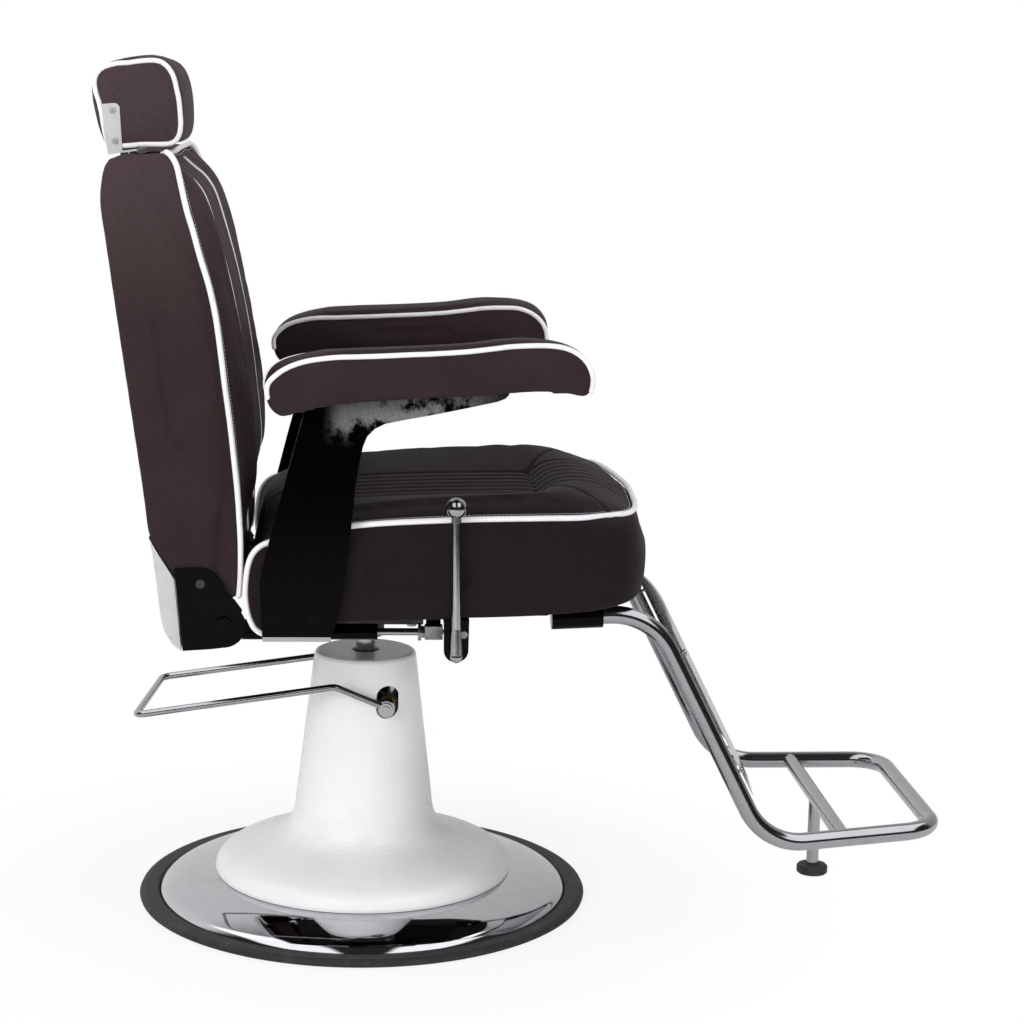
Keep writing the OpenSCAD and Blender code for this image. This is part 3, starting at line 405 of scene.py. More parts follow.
named = {node: finish for finish, nodes in nodeFinish.items() for node in nodes}
for node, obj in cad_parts.items():
    material = finishes[named.get(node, "steel")]
    if not obj.material_slots:
        obj.data.materials.append(material)
    for held in obj.material_slots:
        held.material = material
print("finishes given to", len(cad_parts), "parts")


# making pieces: meshes, stuffed cushions, piping and stitches

def addPiece(name, verts, faces, finish, body, slot):
    mesh = bpy.data.meshes.new(name)
    mesh.from_pydata([tuple(v) for v in verts], [], faces)
    work = bmesh.new()
    work.from_mesh(mesh)
    bmesh.ops.recalc_face_normals(work, faces=work.faces)
    work.to_mesh(mesh)
    work.free()
    mesh.materials.append(finishes[finish])
    mesh.polygons.foreach_set("use_smooth", [True] * len(mesh.polygons))
    piece = bpy.data.objects.new(name, mesh)
    scene.collection.objects.link(piece)
    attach(piece, body)
    return piece


def skinRings(rings):
    size = len(rings[0])
    verts = [p for ring in rings for p in ring]
    faces = [(i * size + j, i * size + (j + 1) % size, (i + 1) * size + (j + 1) % size, (i + 1) * size + j)
             for i in range(len(rings) - 1) for j in range(size)]
    for first, ring in ((0, rings[0]), ((len(rings) - 1) * size, rings[-1])):
        middle = sum(ring, Vector()) / size
        verts.append(middle)
        faces += [(first + j, first + (j + 1) % size, len(verts) - 1) for j in range(size)]
    return verts, faces


def keepResult(piece):
    # the modifiers' result becomes the mesh
    graph = bpy.context.evaluated_depsgraph_get()
    mesh = bpy.data.meshes.new_from_object(piece.evaluated_get(graph))
    old = piece.data
    piece.modifiers.clear()
    piece.data = mesh
    bpy.data.meshes.remove(old)


clothLook = {
    "pressure": 4.0, "stretch": 25, "shear": 10, "bend": 2, "frames": 20,
    "evening": 0.4, "flat": 0.96, "calming": 14,  # passes that keep the flat sides free of marks
}


def stuff(piece, plan, held):
    # remesh, draw in a little, swell as cloth under pressure, then round off
    voxel, shrink, cap = plan["voxel"], plan["shrink"], plan["cap"]
    remesh = piece.modifiers.new("remesh", "REMESH")
    remesh.mode = "VOXEL"
    remesh.voxel_size = voxel * mm
    keepResult(piece)
    mesh = piece.data
    start = [v.co - v.normal * shrink * mm * (1 - held(*read(v.co))) for v in mesh.vertices]
    for v, p in zip(mesh.vertices, start):
        v.co = p
    pins = piece.vertex_groups.new(name="resting")
    for v in mesh.vertices:
        hold = held(*read(v.co))
        if hold > 0.01:
            pins.add([v.index], hold, "REPLACE")
    cloth = piece.modifiers.new("cloth", "CLOTH")
    cloth.settings.use_pressure = True
    cloth.settings.uniform_pressure_force = clothLook["pressure"]
    cloth.settings.effector_weights.gravity = 0
    cloth.settings.vertex_group_mass = pins.name
    cloth.settings.quality = 3
    cloth.settings.tension_stiffness = clothLook["stretch"]
    cloth.settings.compression_stiffness = clothLook["stretch"]
    cloth.settings.shear_stiffness = clothLook["shear"]
    cloth.settings.bending_stiffness = clothLook["bend"]
    cloth.point_cache.frame_start = 1
    cloth.point_cache.frame_end = clothLook["frames"]
    for number in range(1, clothLook["frames"] + 1):
        scene.frame_set(number)
    keepResult(piece)
    scene.frame_set(1)
    for v, p in zip(piece.data.vertices, start):
        move = v.co - p
        if move.length > cap * mm:
            v.co = p + move * (cap * mm / move.length)
    piece.vertex_groups.clear()
    evener = piece.modifiers.new("even", "SMOOTH")
    evener.factor = clothLook["evening"]
    evener.iterations = 1
    flats = piece.vertex_groups.new(name="sides")
    flat = [v.index for v in piece.data.vertices if abs(v.normal.x) > clothLook["flat"]]
    flats.add(flat, 1.0, "REPLACE")
    calm = piece.modifiers.new("calm sides", "SMOOTH")
    calm.use_y = calm.use_z = False
    calm.iterations = clothLook["calming"]
    calm.vertex_group = flats.name
    rounder = piece.modifiers.new("round", "SUBSURF")
    rounder.levels = 1
    keepResult(piece)
    piece.vertex_groups.clear()
    for polygon in piece.data.polygons:
        polygon.use_smooth = True


def press(piece, move):
    # each point moves by what move gives for its place and normal
    mesh = piece.data
    steps = [move(read(v.co), v.normal) for v in mesh.vertices]
    for v, step in zip(mesh.vertices, steps):
        v.co += step
    mesh.update()


def groove(distance, width):
    return math.exp(-(distance / width) ** 2)


def surfaceOf(piece):
    mesh = piece.data
    return BVHTree.FromPolygons([v.co for v in mesh.vertices], [tuple(p.vertices) for p in mesh.polygons])


def drawTo(piece, line, reach, most):
    # the cover drawn to its piping, less and less away from it; at most so many mm
    surface = surfaceOf(piece)
    tree = KDTree(len(line))
    pulls = []
    for i, p in enumerate(line):
        tree.insert(p, i)
        pull = p - surface.find_nearest(p)[0]
        pulls.append(pull * min(1, most * mm / max(pull.length, 1e-6)))
    tree.balance()
    even, window = [], 4  # each pull is evened over so many points to either side
    for i in range(len(pulls)):
        near = pulls[max(0, i - window):i + window + 1]
        even.append(sum(near, Vector()) / len(near))
    for v in piece.data.vertices:
        _, i, gap = tree.find(v.co)
        v.co += even[i] * groove(gap, reach * mm)
    piece.data.update()


def lieOn(surface, line, lift, evening, own=0.0):
    # the line laid on the surface, lift above it; own is how far it keeps to its own way instead
    laid = []
    for p in line:
        spot, normal, _, _ = surface.find_nearest(p)
        laid.append((spot + normal * lift * mm).lerp(p, own))
    for _ in range(evening):
        laid = [laid[0]] + [(a + 2 * b + c) / 4 for a, b, c in zip(laid, laid[1:], laid[2:])] + [laid[-1]]
    return laid


def tubeMesh(line, radius, sides, closed):
    verts, faces = [], []
    count = len(line)
    across = None
    for i, p in enumerate(line):
        before = line[i - 1] if closed or i else line[0]
        after = line[(i + 1) % count] if closed or i < count - 1 else line[-1]
        along = (after - before).normalized()
        if across is None:
            across = along.orthogonal().normalized()
        across = (across - along * across.dot(along)).normalized()
        other = along.cross(across)
        reach = radius * mm
        if not closed and i in (0, count - 1):
            reach *= 0.55
        for k in range(sides):
            turn = 2 * math.pi * k / sides
            verts.append(p + (across * math.cos(turn) + other * math.sin(turn)) * reach)
    for i in range(count if closed else count - 1):
        n = (i + 1) % count
        for k in range(sides):
            m = (k + 1) % sides
            faces.append((i * sides + k, i * sides + m, n * sides + m, n * sides + k))
    if not closed:
        faces.append(tuple(range(sides)))
        faces.append(tuple(range((count - 1) * sides, count * sides)))
    return verts, faces


def addTubes(name, lines, radius, sides, finish, body, slot, closed=False):
    verts, faces = [], []
    for line in lines:
        more, around = tubeMesh(line, radius, sides, closed)
        faces += [tuple(k + len(verts) for k in face) for face in around]
        verts += more
    return addPiece(name, verts, faces, finish, body, slot)


thread = {
    "step": 5, "reach": 2,  # mm from thread to thread, and from a thread's middle to its ends
    "lift": 0.35, "sunk": -0.3,  # mm above the cover, at its middle and at its ends
}


def stitchRow(surface, line, aside):
    # short threads beside a line, on the surface; aside is the way from the line, in mm
    path = evenPath(line, 1.0 * mm)
    threads = []
    step, reach, lift, sunk = thread["step"], thread["reach"], thread["lift"], thread["sunk"]
    for i in range(step, len(path) - step, step):
        along = (path[i + 1] - path[i - 1]).normalized()
        _, normal, _, _ = surface.find_nearest(path[i])
        out = along.cross(normal).normalized() * aside * mm
        first, last = path[i] - along * reach * mm + out, path[i] + along * reach * mm + out
        laid = []
        for share, up in ((0, sunk), (0.3, lift), (0.7, lift), (1, sunk)):
            near, flat, _, _ = surface.find_nearest(first.lerp(last, share))
            laid.append(near + flat * up * mm)
        threads.append(laid)
    return threads


# chrome dome of the base, as (radius, height)

dome = {
    "line": [(296, 9), (294.5, 12), (290, 16.5), (283, 20.5),
             (268, 26), (248, 31.3), (228, 35.4), (205, 39.2)],
    "thick": 1.8, "foot": 1.2, "around": 192,
}


def revolve(profile, count):
    # a closed profile of (radius, height) turned about the middle
    rings = []
    for k in range(count):
        turn = 2 * math.pi * k / count
        rings.append([Vector((r * math.cos(turn), r * math.sin(turn), z)) * mm for r, z in profile])
    size = len(profile)
    verts = [p for ring in rings for p in ring]
    faces = [(i * size + j, i * size + (j + 1) % size, (i + 1) % count * size + (j + 1) % size,
              (i + 1) % count * size + j) for i in range(count) for j in range(size)]
    return verts, faces


def domeProfile():
    d = dome
    outer = smoothPath([Vector(p) for p in d["line"]], 7, False)
    inner = [q - Vector((d["thick"], d["thick"])) for q in outer]
    foot = outer[0]
    return ([(foot.x, foot.y - d["foot"])] + [(q.x, q.y) for q in outer]
            + [(q.x, q.y) for q in reversed(inner[1:])])


print("base dome")
baseDome = addPiece("base_dome_shell", *revolve(domeProfile(), dome["around"]), "dome", "base", "chrome")
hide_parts("base_dome")


# seat cushion, as outlines seen from the side

seat = {
    "half": 270, "panelHalf": 93, "crest": 228, "channel": 31, "channelDeep": 4.5, "channelWide": 4.0,
    "edge": [(-145.5, 450), (-60, 460), (80, 465.5), (240, 472), (292, 483), (309, 512), (311, 548),
             (305, 580), (292, 599), (262, 605), (225, 605), (195, 604), (150, 602.5), (50, 599),
             (-60, 590), (-133, 569), (-156.5, 549), (-162, 498)],
    "bolster": [(-145.5, 450), (-60, 461), (100, 470), (335, 480.5), (388, 488), (397, 512), (396, 548),
                (386, 584), (354, 611), (305, 627), (252, 632), (226, 632), (195, 630.5), (60, 622.5),
                (-60, 608), (-124, 588), (-154, 556), (-163, 500)],
    "panel": [(-145.5, 450), (-60, 461), (100, 470), (335, 480.5), (388, 488), (397, 512), (396, 548),
              (386, 584), (354, 611), (306, 625), (264, 622), (238, 607), (205, 606.5), (60, 603),
              (-60, 595), (-124, 580), (-154, 553), (-163, 500)],
    "panelEnd": 237, "endDeep": 3.4, "mitreEnd": 325, "mitre": (88, 157), "mitreDeep": 4.0,
    "frontCurve": 19.5,  # how far the front falls back at 200 mm from the middle
    "voxel": 5.5, "shrink": 1.5, "cap": 4, "piping": 3.9, "stitch": (-6.6, 0.42),
}


def seatRing(w):
    s = seat
    inside = 1 - min(1.0, max(0.0, (abs(w) - s["panelHalf"]) / (s["crest"] - s["panelHalf"])))
    g = crown(w / s["half"], 10)
    ring = []
    for edge, bolster, panel in zip(s["edge"], s["bolster"], s["panel"]):
        full = Vector(bolster).lerp(Vector(panel), inside)
        full.x -= s["frontCurve"] * (abs(w) / 200) ** 1.5 * max(0.0, (full.x - 250) / 150)
        ring.append(Vector(edge).lerp(full, g))
    return smoothPath(ring, 5, True)


def loft(ringAt, half, count, centre, bulge):
    # rings across the cushion, close together near its sides, then the sides drawn in
    rings = []
    turns = [math.pi / 2 * (2 * k / count - 1) for k in range(count + 1)]
    for turn in turns:
        w = half * math.sin(turn)
        rings.append([at(q[0], q[1], w) for q in ringAt(w)])
    for keep in (0.992, 0.98, 0.96, 0.93, 0.88, 0.8, 0.68, 0.5, 0.3):
        for side, where in ((-1, 0), (1, len(rings))):
            edge = [Vector(centre).lerp(q, keep) for q in ringAt(side * half)]
            ring = [at(q[0], q[1], side * (half + bulge * (1 - keep ** 10))) for q in edge]
            rings.insert(where, ring)
    return skinRings(rings)


def seatHeld(f, u, w):
    under = 1 - ease(6, 16, u - (466 + 0.0433 * f))
    return under if f < 330 else under * 0.5


def seatSeams(place, normal):
    s = seat
    f, u, w = place
    if u < 560 or normal.z < 0.1:
        return Vector()
    up = ease(0.1, 0.45, normal.z) * ease(-158, -140, f)
    deep = 0.0
    for number in range(-3, 4):
        line = number * s["channel"]
        wide = s["channelWide"] * (1.0 if f < 240 else 0.8)
        deep += groove(w - line, wide) * s["channelDeep"] * (1 - 0.55 * ease(238, 262, f))
    reach = 1 - ease(s["panelHalf"] + 1, s["panelHalf"] + 9, abs(w))
    deep *= reach * (1 - ease(362, 376, f))
    # the front end of the channels, and the mitre seams from its corners to the side piping
    start, end = s["panelEnd"], s["mitreEnd"]
    if abs(w) < s["panelHalf"] + 2:
        deep += s["endDeep"] * groove(f - start, 5)
    t = min(1.0, max(0.0, (f - start) / (end - start)))
    mitre = s["mitre"][0] + s["mitre"][1] * t ** 0.9
    if start < f < end:
        deep += s["mitreDeep"] * groove(abs(w) - mitre, 6) * (1 - 0.3 * t)
    return Vector((0, 0, -deep * up * mm))


print("seat cushion")
cushion = addPiece("seat_pad", *loft(seatRing, seat["half"], 72, (60, 530), 7),
                   "leather", "seat", "dark_leather")
stuff(cushion, seat, seatHeld)
press(cushion, seatSeams)
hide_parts("seat_cushion")

rearPath = [(-136, 446, 271), (-150, 453, 272), (-158, 468, 272), (-163, 488, 272), (-164, 508, 272),
            (-162, 530, 272), (-158, 549, 272), (-148, 563, 272), (-128, 572, 271), (-27, 593, 271),
            (105, 602, 271), (230, 605, 270), (278, 605, 265), (305, 604, 250), (327, 604, 237),
            (344, 604, 224), (357, 604, 198), (368, 604, 153), (374, 605, 90)]
seatPath = rearPath + [(377, 606, 0)] + [(f, u, -w) for f, u, w in reversed(rearPath)]
seatLine = evenPath(smoothPath([at(*p) for p in seatPath], 12, False), 3 * mm)
drawTo(cushion, seatLine, 20, 9)
seatSurface = surfaceOf(cushion)
seatLine = lieOn(seatSurface, seatLine, 1.2, 6, 0.55)
addTubes("seat_piping", [seatLine], seat["piping"], 12, "piping", "seat", "dark_leather")
aside, thick = seat["stitch"]
row = stitchRow(seatSurface, seatLine, aside)
addTubes("seat_stitches", row, thick, 5, "stitch", "seat", "dark_leather")


# arm pads

arm = {
    "middle": 290, "half": 45, "rear": -110, "front": 230,
    "outline": [(-112, 744.8), (-92, 758.6), (-80, 761.2), (-10, 766), (80, 772.4), (160, 778.1),
                (225, 782.7), (243, 783.6), (261, 776.3), (277, 778), (283, 797), (276, 817), (257, 834),
                (226, 841), (178, 840), (120, 832.8), (50, 828.2), (-30, 824.2), (-80, 818.5), (-117, 804),
                (-134.5, 786), (-131, 758)],
    "back": (4, 6),  # how far the inner edge lies behind the outer, at the rear and at the front
    "down": 5,  # how far the inner edge lies below the outer on top
    "voxel": 4, "shrink": 0.8, "cap": 3, "piping": 3.4, "stitch": (6.0, 0.4),
}


def armLean(f, u):
    a = arm
    back = a["back"][1] if f > a["front"] else a["back"][0] if f < a["rear"] else 0
    return Vector((back, a["down"] * min(1, max(0, (f - a["rear"]) / 60)) if u > 784 else 0))


def armRing(w, side):
    g = crown(w / arm["half"], 3)
    inner = (1 - side * w / arm["half"]) / 2
    moved = []
    for f, u in arm["outline"]:
        longer = 3 if f > arm["front"] else -2 if f < arm["rear"] else 0
        swollen = Vector((f + g * longer, u + (6 * g if u > 795 else 0)))
        moved.append(swollen - armLean(f, u) * inner)
    return smoothPath(moved, 5, True)


def armHeld(f, u, w):
    return (1 - ease(2, 8, u - (766.7 + 0.0715 * f))) * ease(-110, -80, f) * (1 - ease(230, 250, f))


armPath = [(-134, 768), (-136, 786.6), (-127, 797), (-114.5, 807), (-97.5, 815), (-78, 820), (-49.5, 824),
           (-21, 825.6), (10, 826.8), (50, 829.3), (87, 831.2), (121, 834), (149.5, 837.6), (178, 841),
           (207, 842), (229.5, 841.8), (247, 839), (261.5, 832.5), (272, 824), (279, 814), (283, 802.5),
           (284, 790), (281, 780)]
for side, name in ((1, "right"), (-1, "left")):
    print("arm pad", name)
    verts, faces = loft(lambda w: armRing(w, side), arm["half"], 22, (70, 803), 3.5)
    shift = Vector((-side * arm["middle"] * mm, 0, 0))
    pad = addPiece("arm_pad_" + name + "_soft", [v + shift for v in verts], faces,
                   "leather", "seat", "dark_leather")
    stuff(pad, arm, armHeld)
    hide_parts("arm_pad_" + name)
    surface = surfaceOf(pad)
    for edge, place in ((1, "outer"), (-1, "inner")):
        w = side * (arm["middle"] + edge * arm["half"])
        line = [Vector(q) - armLean(*q) * (1 - edge) / 2 for q in armPath]
        line = [at(f, u, w) for f, u in line]
        line = lieOn(surface, evenPath(smoothPath(line, 10, False), 3 * mm), 1.2, 5, 0.4)
        which = name + "_" + place
        addTubes("arm_piping_" + which, [line], arm["piping"], 12, "piping", "seat", "dark_leather")
        aside, thick = arm["stitch"]
        row = stitchRow(surface, line, -side * edge * aside)
        addTubes("arm_stitches_" + which, row, thick, 5, "stitch", "seat", "dark_leather")


# back cushion: at its sides, over a bolster and in the middle

back = {
    "half": 260, "seam": 134, "crest": 225, "dip": 11,
    "edge": [(-255, 520), (-218, 490), (-184, 486), (-172, 500), (-170, 545), (-172.5, 608), (-176.5, 652),
             (-185.5, 745), (-197.5, 825), (-212.5, 900), (-233, 975), (-247, 1034), (-252.5, 1062),
             (-268, 1080), (-325, 1075), (-345, 1061), (-350, 1020), (-341, 950), (-326, 840),
             (-309, 720), (-297, 635), (-290, 578), (-277, 552)],
    "bolster": [(-255, 520), (-218, 490), (-184, 485), (-171, 500), (-169, 545), (-164, 602), (-150.5, 648),
                (-152, 735), (-165.5, 820), (-182, 900), (-200, 975), (-222, 1030), (-254, 1060),
                (-276, 1073), (-325, 1072), (-347, 1060), (-352, 1020), (-343, 950), (-328, 840),
                (-311, 720), (-299, 635), (-291, 578), (-277, 552)],
    "middle": [(-255, 520), (-218, 490), (-184, 485), (-171, 500), (-169, 545), (-167, 604), (-156, 652),
               (-163, 738), (-174.5, 822), (-190.5, 900), (-211.5, 975), (-231, 1031), (-255, 1063),
               (-275, 1079), (-325, 1076), (-347, 1062), (-352, 1020), (-343, 950), (-328, 840),
               (-311, 720), (-299, 635), (-291, 578), (-277, 552)],
    "pivot": (193, 457), "lean": math.radians(8.5),  # the recline pivot behind the middle and up, the lean
    "channels": (34.5, 86), "seamDeep": 5.5, "channelDeep": 4.5,
    "voxel": 5.5, "shrink": 1.5, "cap": 4, "piping": 3.9, "stitch": (6.6, 0.42),
    "innerPiping": 3.0, "innerLine": 131,  # its thickness and its way from the middle
}


def backRing(w):
    b = back
    inside = 1 - min(1.0, max(0.0, (abs(w) - b["seam"]) / (b["crest"] - b["seam"]))) ** 2
    g = crown(w / b["half"], 12)
    dip = b["dip"] * (1 - ease(158, 214, abs(w)))
    ring = []
    for i, (edge, bolster, middle) in enumerate(zip(b["edge"], b["bolster"], b["middle"])):
        full = Vector(bolster).lerp(Vector(middle), inside)
        q = Vector(edge).lerp(full, g)
        ring.append(q - Vector((0, dip if i in (12, 13, 14, 15) else 0)))
    return smoothPath(ring, 5, True)


def alongBack(f, u):
    # how far behind the recline pivot's line a place is, and how far up the back
    lean = back["lean"]
    y, z = -f - back["pivot"][0], u - back["pivot"][1]
    return y * math.cos(lean) - z * math.sin(lean), y * math.sin(lean) + z * math.cos(lean)


def backHeld(f, u, w):
    behind, up = alongBack(f, u)
    return ease(14, 22, behind) * (1 - ease(560, 600, up))


def backSeams(place, normal):
    f, u, w = place
    _, up = alongBack(f, u)
    if normal.y > -0.1 and normal.z < 0.3:
        return Vector()
    facing = ease(0.1, 0.5, max(-normal.y, normal.z * 0.9)) * ease(90, 130, up)
    deep = back["seamDeep"] * groove(abs(w) - back["seam"], 6)
    for line in back["channels"]:
        deep += back["channelDeep"] * groove(abs(w) - line, 5)
    return -normal * deep * facing * mm


print("back cushion")
backPad = addPiece("back_pad", *loft(backRing, back["half"], 72, (-258, 780), 5),
                   "leather", "back", "dark_leather")
stuff(backPad, back, backHeld)
press(backPad, backSeams)
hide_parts("back_cushion")

backSurface = surfaceOf(backPad)
outerPath = [(-171, 491), (-169, 525), (-169, 570), (-172, 613), (-178, 674), (-184.5, 730), (-191, 777),
             (-197, 828), (-203, 870), (-211.5, 908), (-222, 942), (-232, 979), (-238.5, 1000),
             (-245, 1029), (-248.5, 1046), (-251, 1061), (-257, 1073)]
topPath = [(-263, 1078, 254), (-268, 1076, 236), (-272, 1073, 205), (-276, 1071, 175), (-278, 1069, 150),
           (-279, 1068, 90)]
innerPath = [(-262, 1065), (-250, 1061), (-237, 1050), (-226, 1033), (-215, 1005), (-202, 956), (-190, 905),
             (-182, 862), (-172, 810), (-161, 719), (-154, 640), (-164, 606), (-168, 560)]
oneSide = [(f, u, back["half"]) for f, u in outerPath] + topPath
outerLine = ([at(*p) for p in oneSide] + [at(-279, 1069, 0)]
             + [at(f, u, -w) for f, u, w in reversed(oneSide)])
outerLine = lieOn(backSurface, evenPath(smoothPath(outerLine, 10, False), 3 * mm), 1.4, 6, 0.55)
inners = []
for side in (1, -1):
    line = [at(f, u, side * back["innerLine"]) for f, u in innerPath]
    line = evenPath(smoothPath(line, 10, False), 3 * mm)
    inners.append(lieOn(backSurface, line, 0.9, 6))
aside, thick = back["stitch"]
rows = stitchRow(backSurface, outerLine, aside)
addTubes("back_piping", [outerLine], back["piping"], 12, "piping", "back", "dark_leather")
addTubes("back_inner_piping", inners, back["innerPiping"], 10, "piping", "back", "dark_leather")
addTubes("back_stitches", rows, thick, 5, "stitch", "back", "dark_leather")


# rear panel of the back, in the back's own directions

rear = {"half": 232, "low": 116, "high": 559, "face": 64, "thick": 9, "corner": 26, "swell": 4}


def onBack(behind, up, w):
    lean = back["lean"]
    y = back["pivot"][0] + behind * math.cos(lean) + up * math.sin(lean)
    return Vector((-w, y, back["pivot"][1] + up * math.cos(lean) - behind * math.sin(lean))) * mm


def rearPanel():
    r = rear
    wide, tall = r["half"] - r["corner"], (r["high"] - r["low"]) / 2 - r["corner"]
    middle = (r["high"] + r["low"]) / 2
    rim = []
    for cx, cy, start in ((wide, tall, 0), (-wide, tall, 90), (-wide, -tall, 180), (wide, -tall, 270)):
        for k in range(13):
            turn = math.radians(start + 90 * k / 12)
            rim.append((cx + r["corner"] * math.cos(turn), cy + r["corner"] * math.sin(turn)))
    rings = [[onBack(r["face"] + 1, middle + y * 0.6, x * 0.6) for x, y in rim],
             [onBack(r["face"], middle + y * 0.99, x * 0.99) for x, y in rim]]
    for k in range(15):
        t = math.pi / 2 * k / 14
        keep, out = 1 - 0.03 * (1 - math.cos(t)), (r["thick"] - 1) * math.sin(t)
        rings.append([onBack(r["face"] + 1 + out, middle + y * keep, x * keep) for x, y in rim])
    for k in range(1, 15):
        keep = 0.97 * (1 - k / 15)
        out = r["thick"] + r["swell"] * (1 - (1 - k / 15) ** 2) * 0.35
        rings.append([onBack(r["face"] + out, middle + y * keep, x * keep) for x, y in rim])
    return skinRings(rings)


print("rear panel")
panel = addPiece("rear_panel_soft", *rearPanel(), "leather", "back", "dark_leather")
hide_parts("back_panel")


# headrest, in the back's own directions

head = {
    "half": 129,
    "edge": [(-65.5, 642), (-50, 637.3), (-16, 634.5), (14, 630.5), (27.5, 636), (35, 653), (37.8, 680),
             (37, 706), (31, 727.5), (18, 740), (-6, 743.3), (-49, 743), (-69.5, 727), (-69, 692)],
    "full": [(-68, 639), (-50, 634), (-14, 631), (16, 630), (32, 633), (41, 648), (44, 674),
             (44.5, 702), (43.3, 727), (31, 743), (-2, 748.5), (-48, 745.5), (-71.5, 736), (-75.5, 700)],
    "middle": (20, 684), "voxel": 4, "shrink": 0.8, "cap": 3,
    "piping": 3.4, "pipingLine": 128, "stitch": (5.8, 0.4),
}


def headRing(w):
    g = crown(w / head["half"], 5)
    ring = []
    for edge, full in zip(head["edge"], head["full"]):
        q = Vector(edge).lerp(Vector(full), g)
        p = onBack(-q[0], q[1], 0)
        ring.append(Vector((-p.y, p.z)) / mm)
    return smoothPath(ring, 6, True)


def headHeld(f, u, w):
    _, up = alongBack(f, u)
    return 1 - ease(632, 638, up)


print("headrest")
middleOfHead = read(onBack(*head["middle"], 0))[:2]
headPad = addPiece("headrest_pad", *loft(headRing, head["half"] - 1, 40, middleOfHead, 1.4),
                   "leather", "headrest", "dark_leather")
stuff(headPad, head, headHeld)
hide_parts("headrest_cushion")
headSurface = surfaceOf(headPad)
headPath = [(-349.4, 1186), (-362.3, 1177.3), (-367.6, 1164.4), (-366, 1147.5), (-360.6, 1130.6),
            (-356, 1105), (-351, 1084), (-344, 1078.5), (-303, 1080.5), (-268.7, 1081.9), (-258, 1089.8),
            (-253.5, 1109), (-256.4, 1143), (-262, 1169), (-270.4, 1183.5), (-283, 1192), (-311, 1192)]
pipes, rows = [], []
aside, thick = head["stitch"]
for side in (1, -1):
    loop = [at(f, u, side * head["pipingLine"]) for f, u in headPath]
    loop = evenPath(smoothPath(loop, 8, True), 3 * mm)
    pipes.append(lieOn(headSurface, loop, 1.4, 4))
    rows += stitchRow(headSurface, pipes[-1], aside * side)
addTubes("headrest_piping", pipes, head["piping"], 12, "piping", "headrest", "dark_leather", closed=True)
addTubes("headrest_stitches", rows, thick, 5, "stitch", "headrest", "dark_leather")


# floor, world, lamps and camera

studio = {
    "floor": tint(251, 251, 251), "lift": 0.84, "fade": (0.32, 0.75), "world": 0.48,
    "reach": 3.2, "sides": 64, "rings": 8, "level": -0.0005,
    "wall": 0.68, "windows": 1.6, "dark": 0.03,  # what polished metal mirrors
    "lamps": [("key", (-3.0, 2.2, 1.5), 1.8, 47), ("fill", (-3.4, -0.1, 1.0), 1.6, 17),
              ("top", (-0.6, 0.6, 3.4), 2.4, 11), ("rear", (2.6, 1.2, 1.6), 1.6, 12),
              ("upper", (-1.3, 0.85, 1.5), 0.7, 3.2), ("front", (-0.5, -3.0, 1.9), 1.0, 30)],
    "aim": {"upper": (0, 0.3, 1.1), "front": (0, 0.1, 0.9)},
}


def studioFloor():
    m = Finish("studio floor")
    away = m.node("VectorMath", {"operation": "LENGTH"}, [m.place()], output=1)
    seen = m.node("LightPath", output=0)
    paperColour = m.colourMix(m.noise(6, 2, 0.4), studio["floor"], tint(247, 247, 247))
    paper = m.node("BsdfPrincipled", None, {"Base Color": paperColour, "Roughness": 0.9})
    glow = m.node("Emission", None, {"Color": (1, 1, 1, 1), "Strength": 1.0})
    shadowless = studio["lift"] + (1 - studio["lift"]) * away.between(*studio["fade"])
    return m.done(m.node("MixShader", None, [shadowless * seen, paper, glow]))


print("floor, world, lamps and camera")
sides, count, level = studio["sides"], studio["rings"], studio["level"]
floorVerts = []
for k in range(1, count + 1):
    away = studio["reach"] * k / count
    for t in range(sides):
        turn = 2 * math.pi * t / sides
        floorVerts.append(Vector((away * math.cos(turn), away * math.sin(turn), level)))
floorVerts.append(Vector((0, 0, level)))
floorFaces = [(i * sides + j, i * sides + (j + 1) % sides, (i + 1) * sides + (j + 1) % sides,
               (i + 1) * sides + j) for i in range(count - 1) for j in range(sides)]
floorFaces += [(j, (j + 1) % sides, count * sides) for j in range(sides)]
floorMesh = bpy.data.meshes.new("floor")
floorMesh.from_pydata([tuple(v) for v in floorVerts], [], floorFaces)
floorMesh.materials.append(studioFloor())
floor = bpy.data.objects.new("floor", floorMesh)
scene.collection.objects.link(floor)

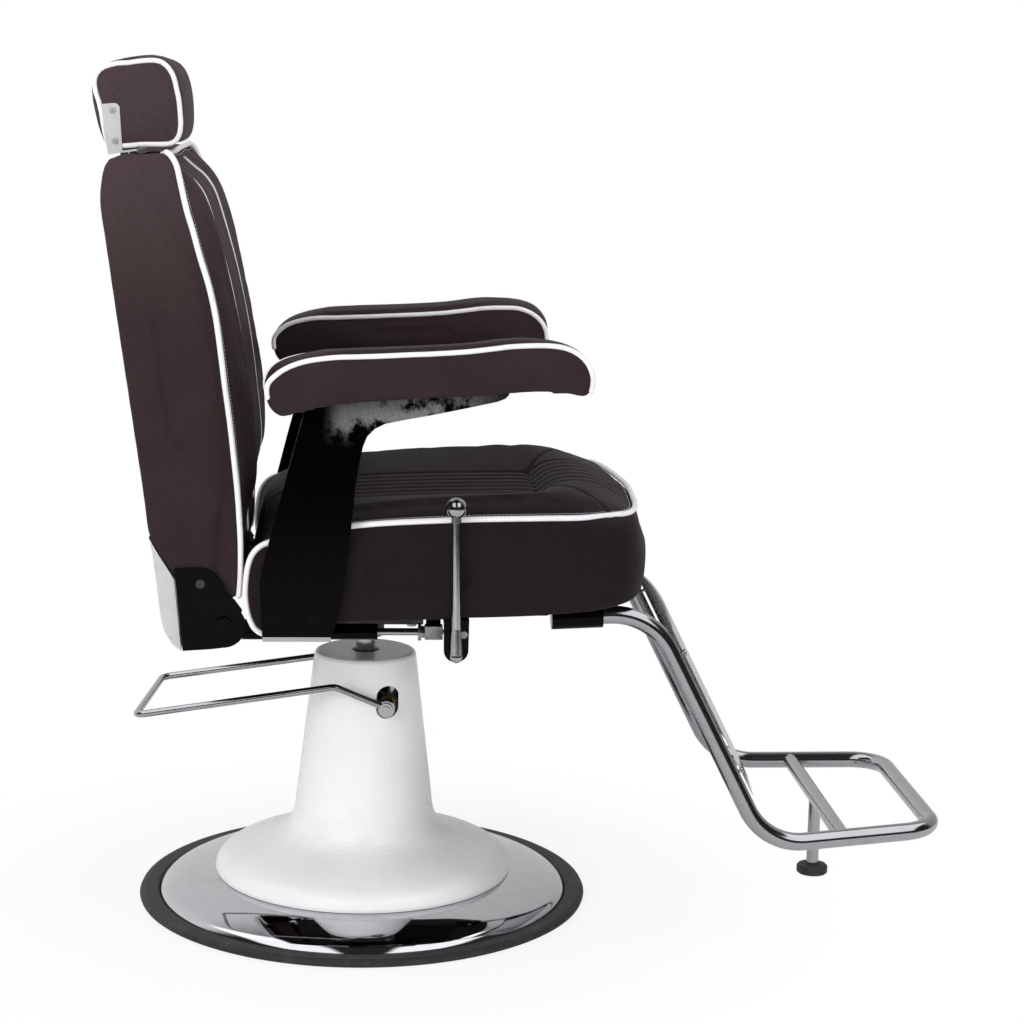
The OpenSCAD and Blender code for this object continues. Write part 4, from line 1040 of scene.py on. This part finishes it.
world = bpy.data.worlds.new("studio")
world.use_nodes = True
scene.world = world
room = Finish("studio", world.node_tree)
spread = room.node("SeparateXYZ", None, [room.node("TexCoord", output=0)])
dx, dy, dz = [Wire(room, spread.socket.node.outputs[i]) for i in range(3)]
rays = room.node("LightPath").socket.node.outputs
camera, glossy, through = [Wire(room, rays["Is " + kind + " Ray"])
                           for kind in ("Camera", "Glossy", "Transmission")]
# what polished metal mirrors: a dark room behind the camera with two windows in it, a pale wall beyond
beyond = dx.between(-0.05, 0.3)
wall = beyond * (studio["wall"] + 0.3 * dy) * (1 - 0.75 * dz.between(0.62, 0.9))
panes = dz.between(0.36, 0.42) * abs(dy).between(0.16, 0.24) * (1 - abs(dy).between(0.62, 0.7))
windows = panes * (1 - dx.between(0.3, 0.45))
mirrored = studio["dark"] + wall + windows * studio["windows"]
mirror, plain, white = [room.node("Background", None, {"Color": (1, 1, 1, 1), "Strength": strength})
                        for strength in (mirrored, studio["world"], 1.0)]
lit = room.node("MixShader", None, [glossy, plain, mirror])
seen = room.node("Math", {"operation": "MAXIMUM"}, [camera, through])
shown = room.node("MixShader", None, [seen, lit, white])
output = room.tree.nodes.new("ShaderNodeOutputWorld")
room.tree.links.new(shown.socket, output.inputs["Surface"])

for name, place, size, power in studio["lamps"]:
    lamp = bpy.data.lights.new(name, "AREA")
    lamp.shape = "SQUARE"
    lamp.size = size
    lamp.energy = power
    holder = bpy.data.objects.new(name, lamp)
    holder.location = place
    holder.visible_glossy = False
    aim = Vector(studio["aim"].get(name, (0, 0, 0.5))) - Vector(place)
    holder.rotation_euler = aim.to_track_quat("-Z", "Y").to_euler()
    scene.collection.objects.link(holder)

view = {"place": (-3.3194, 0.0626, 1.1611), "turn": (79.851, -1.185, -94.462), "lens": 82.61}
lens = bpy.data.cameras.new("view")
lens.lens = view["lens"]
lens.sensor_width = 36
eye = bpy.data.objects.new("view", lens)
eye.location = view["place"]
eye.rotation_euler = Euler([math.radians(a) for a in view["turn"]])
scene.collection.objects.link(eye)
scene.camera = eye

scene.view_settings.view_transform = "Standard"
bpy.context.view_layer.update()
print("scene ready")
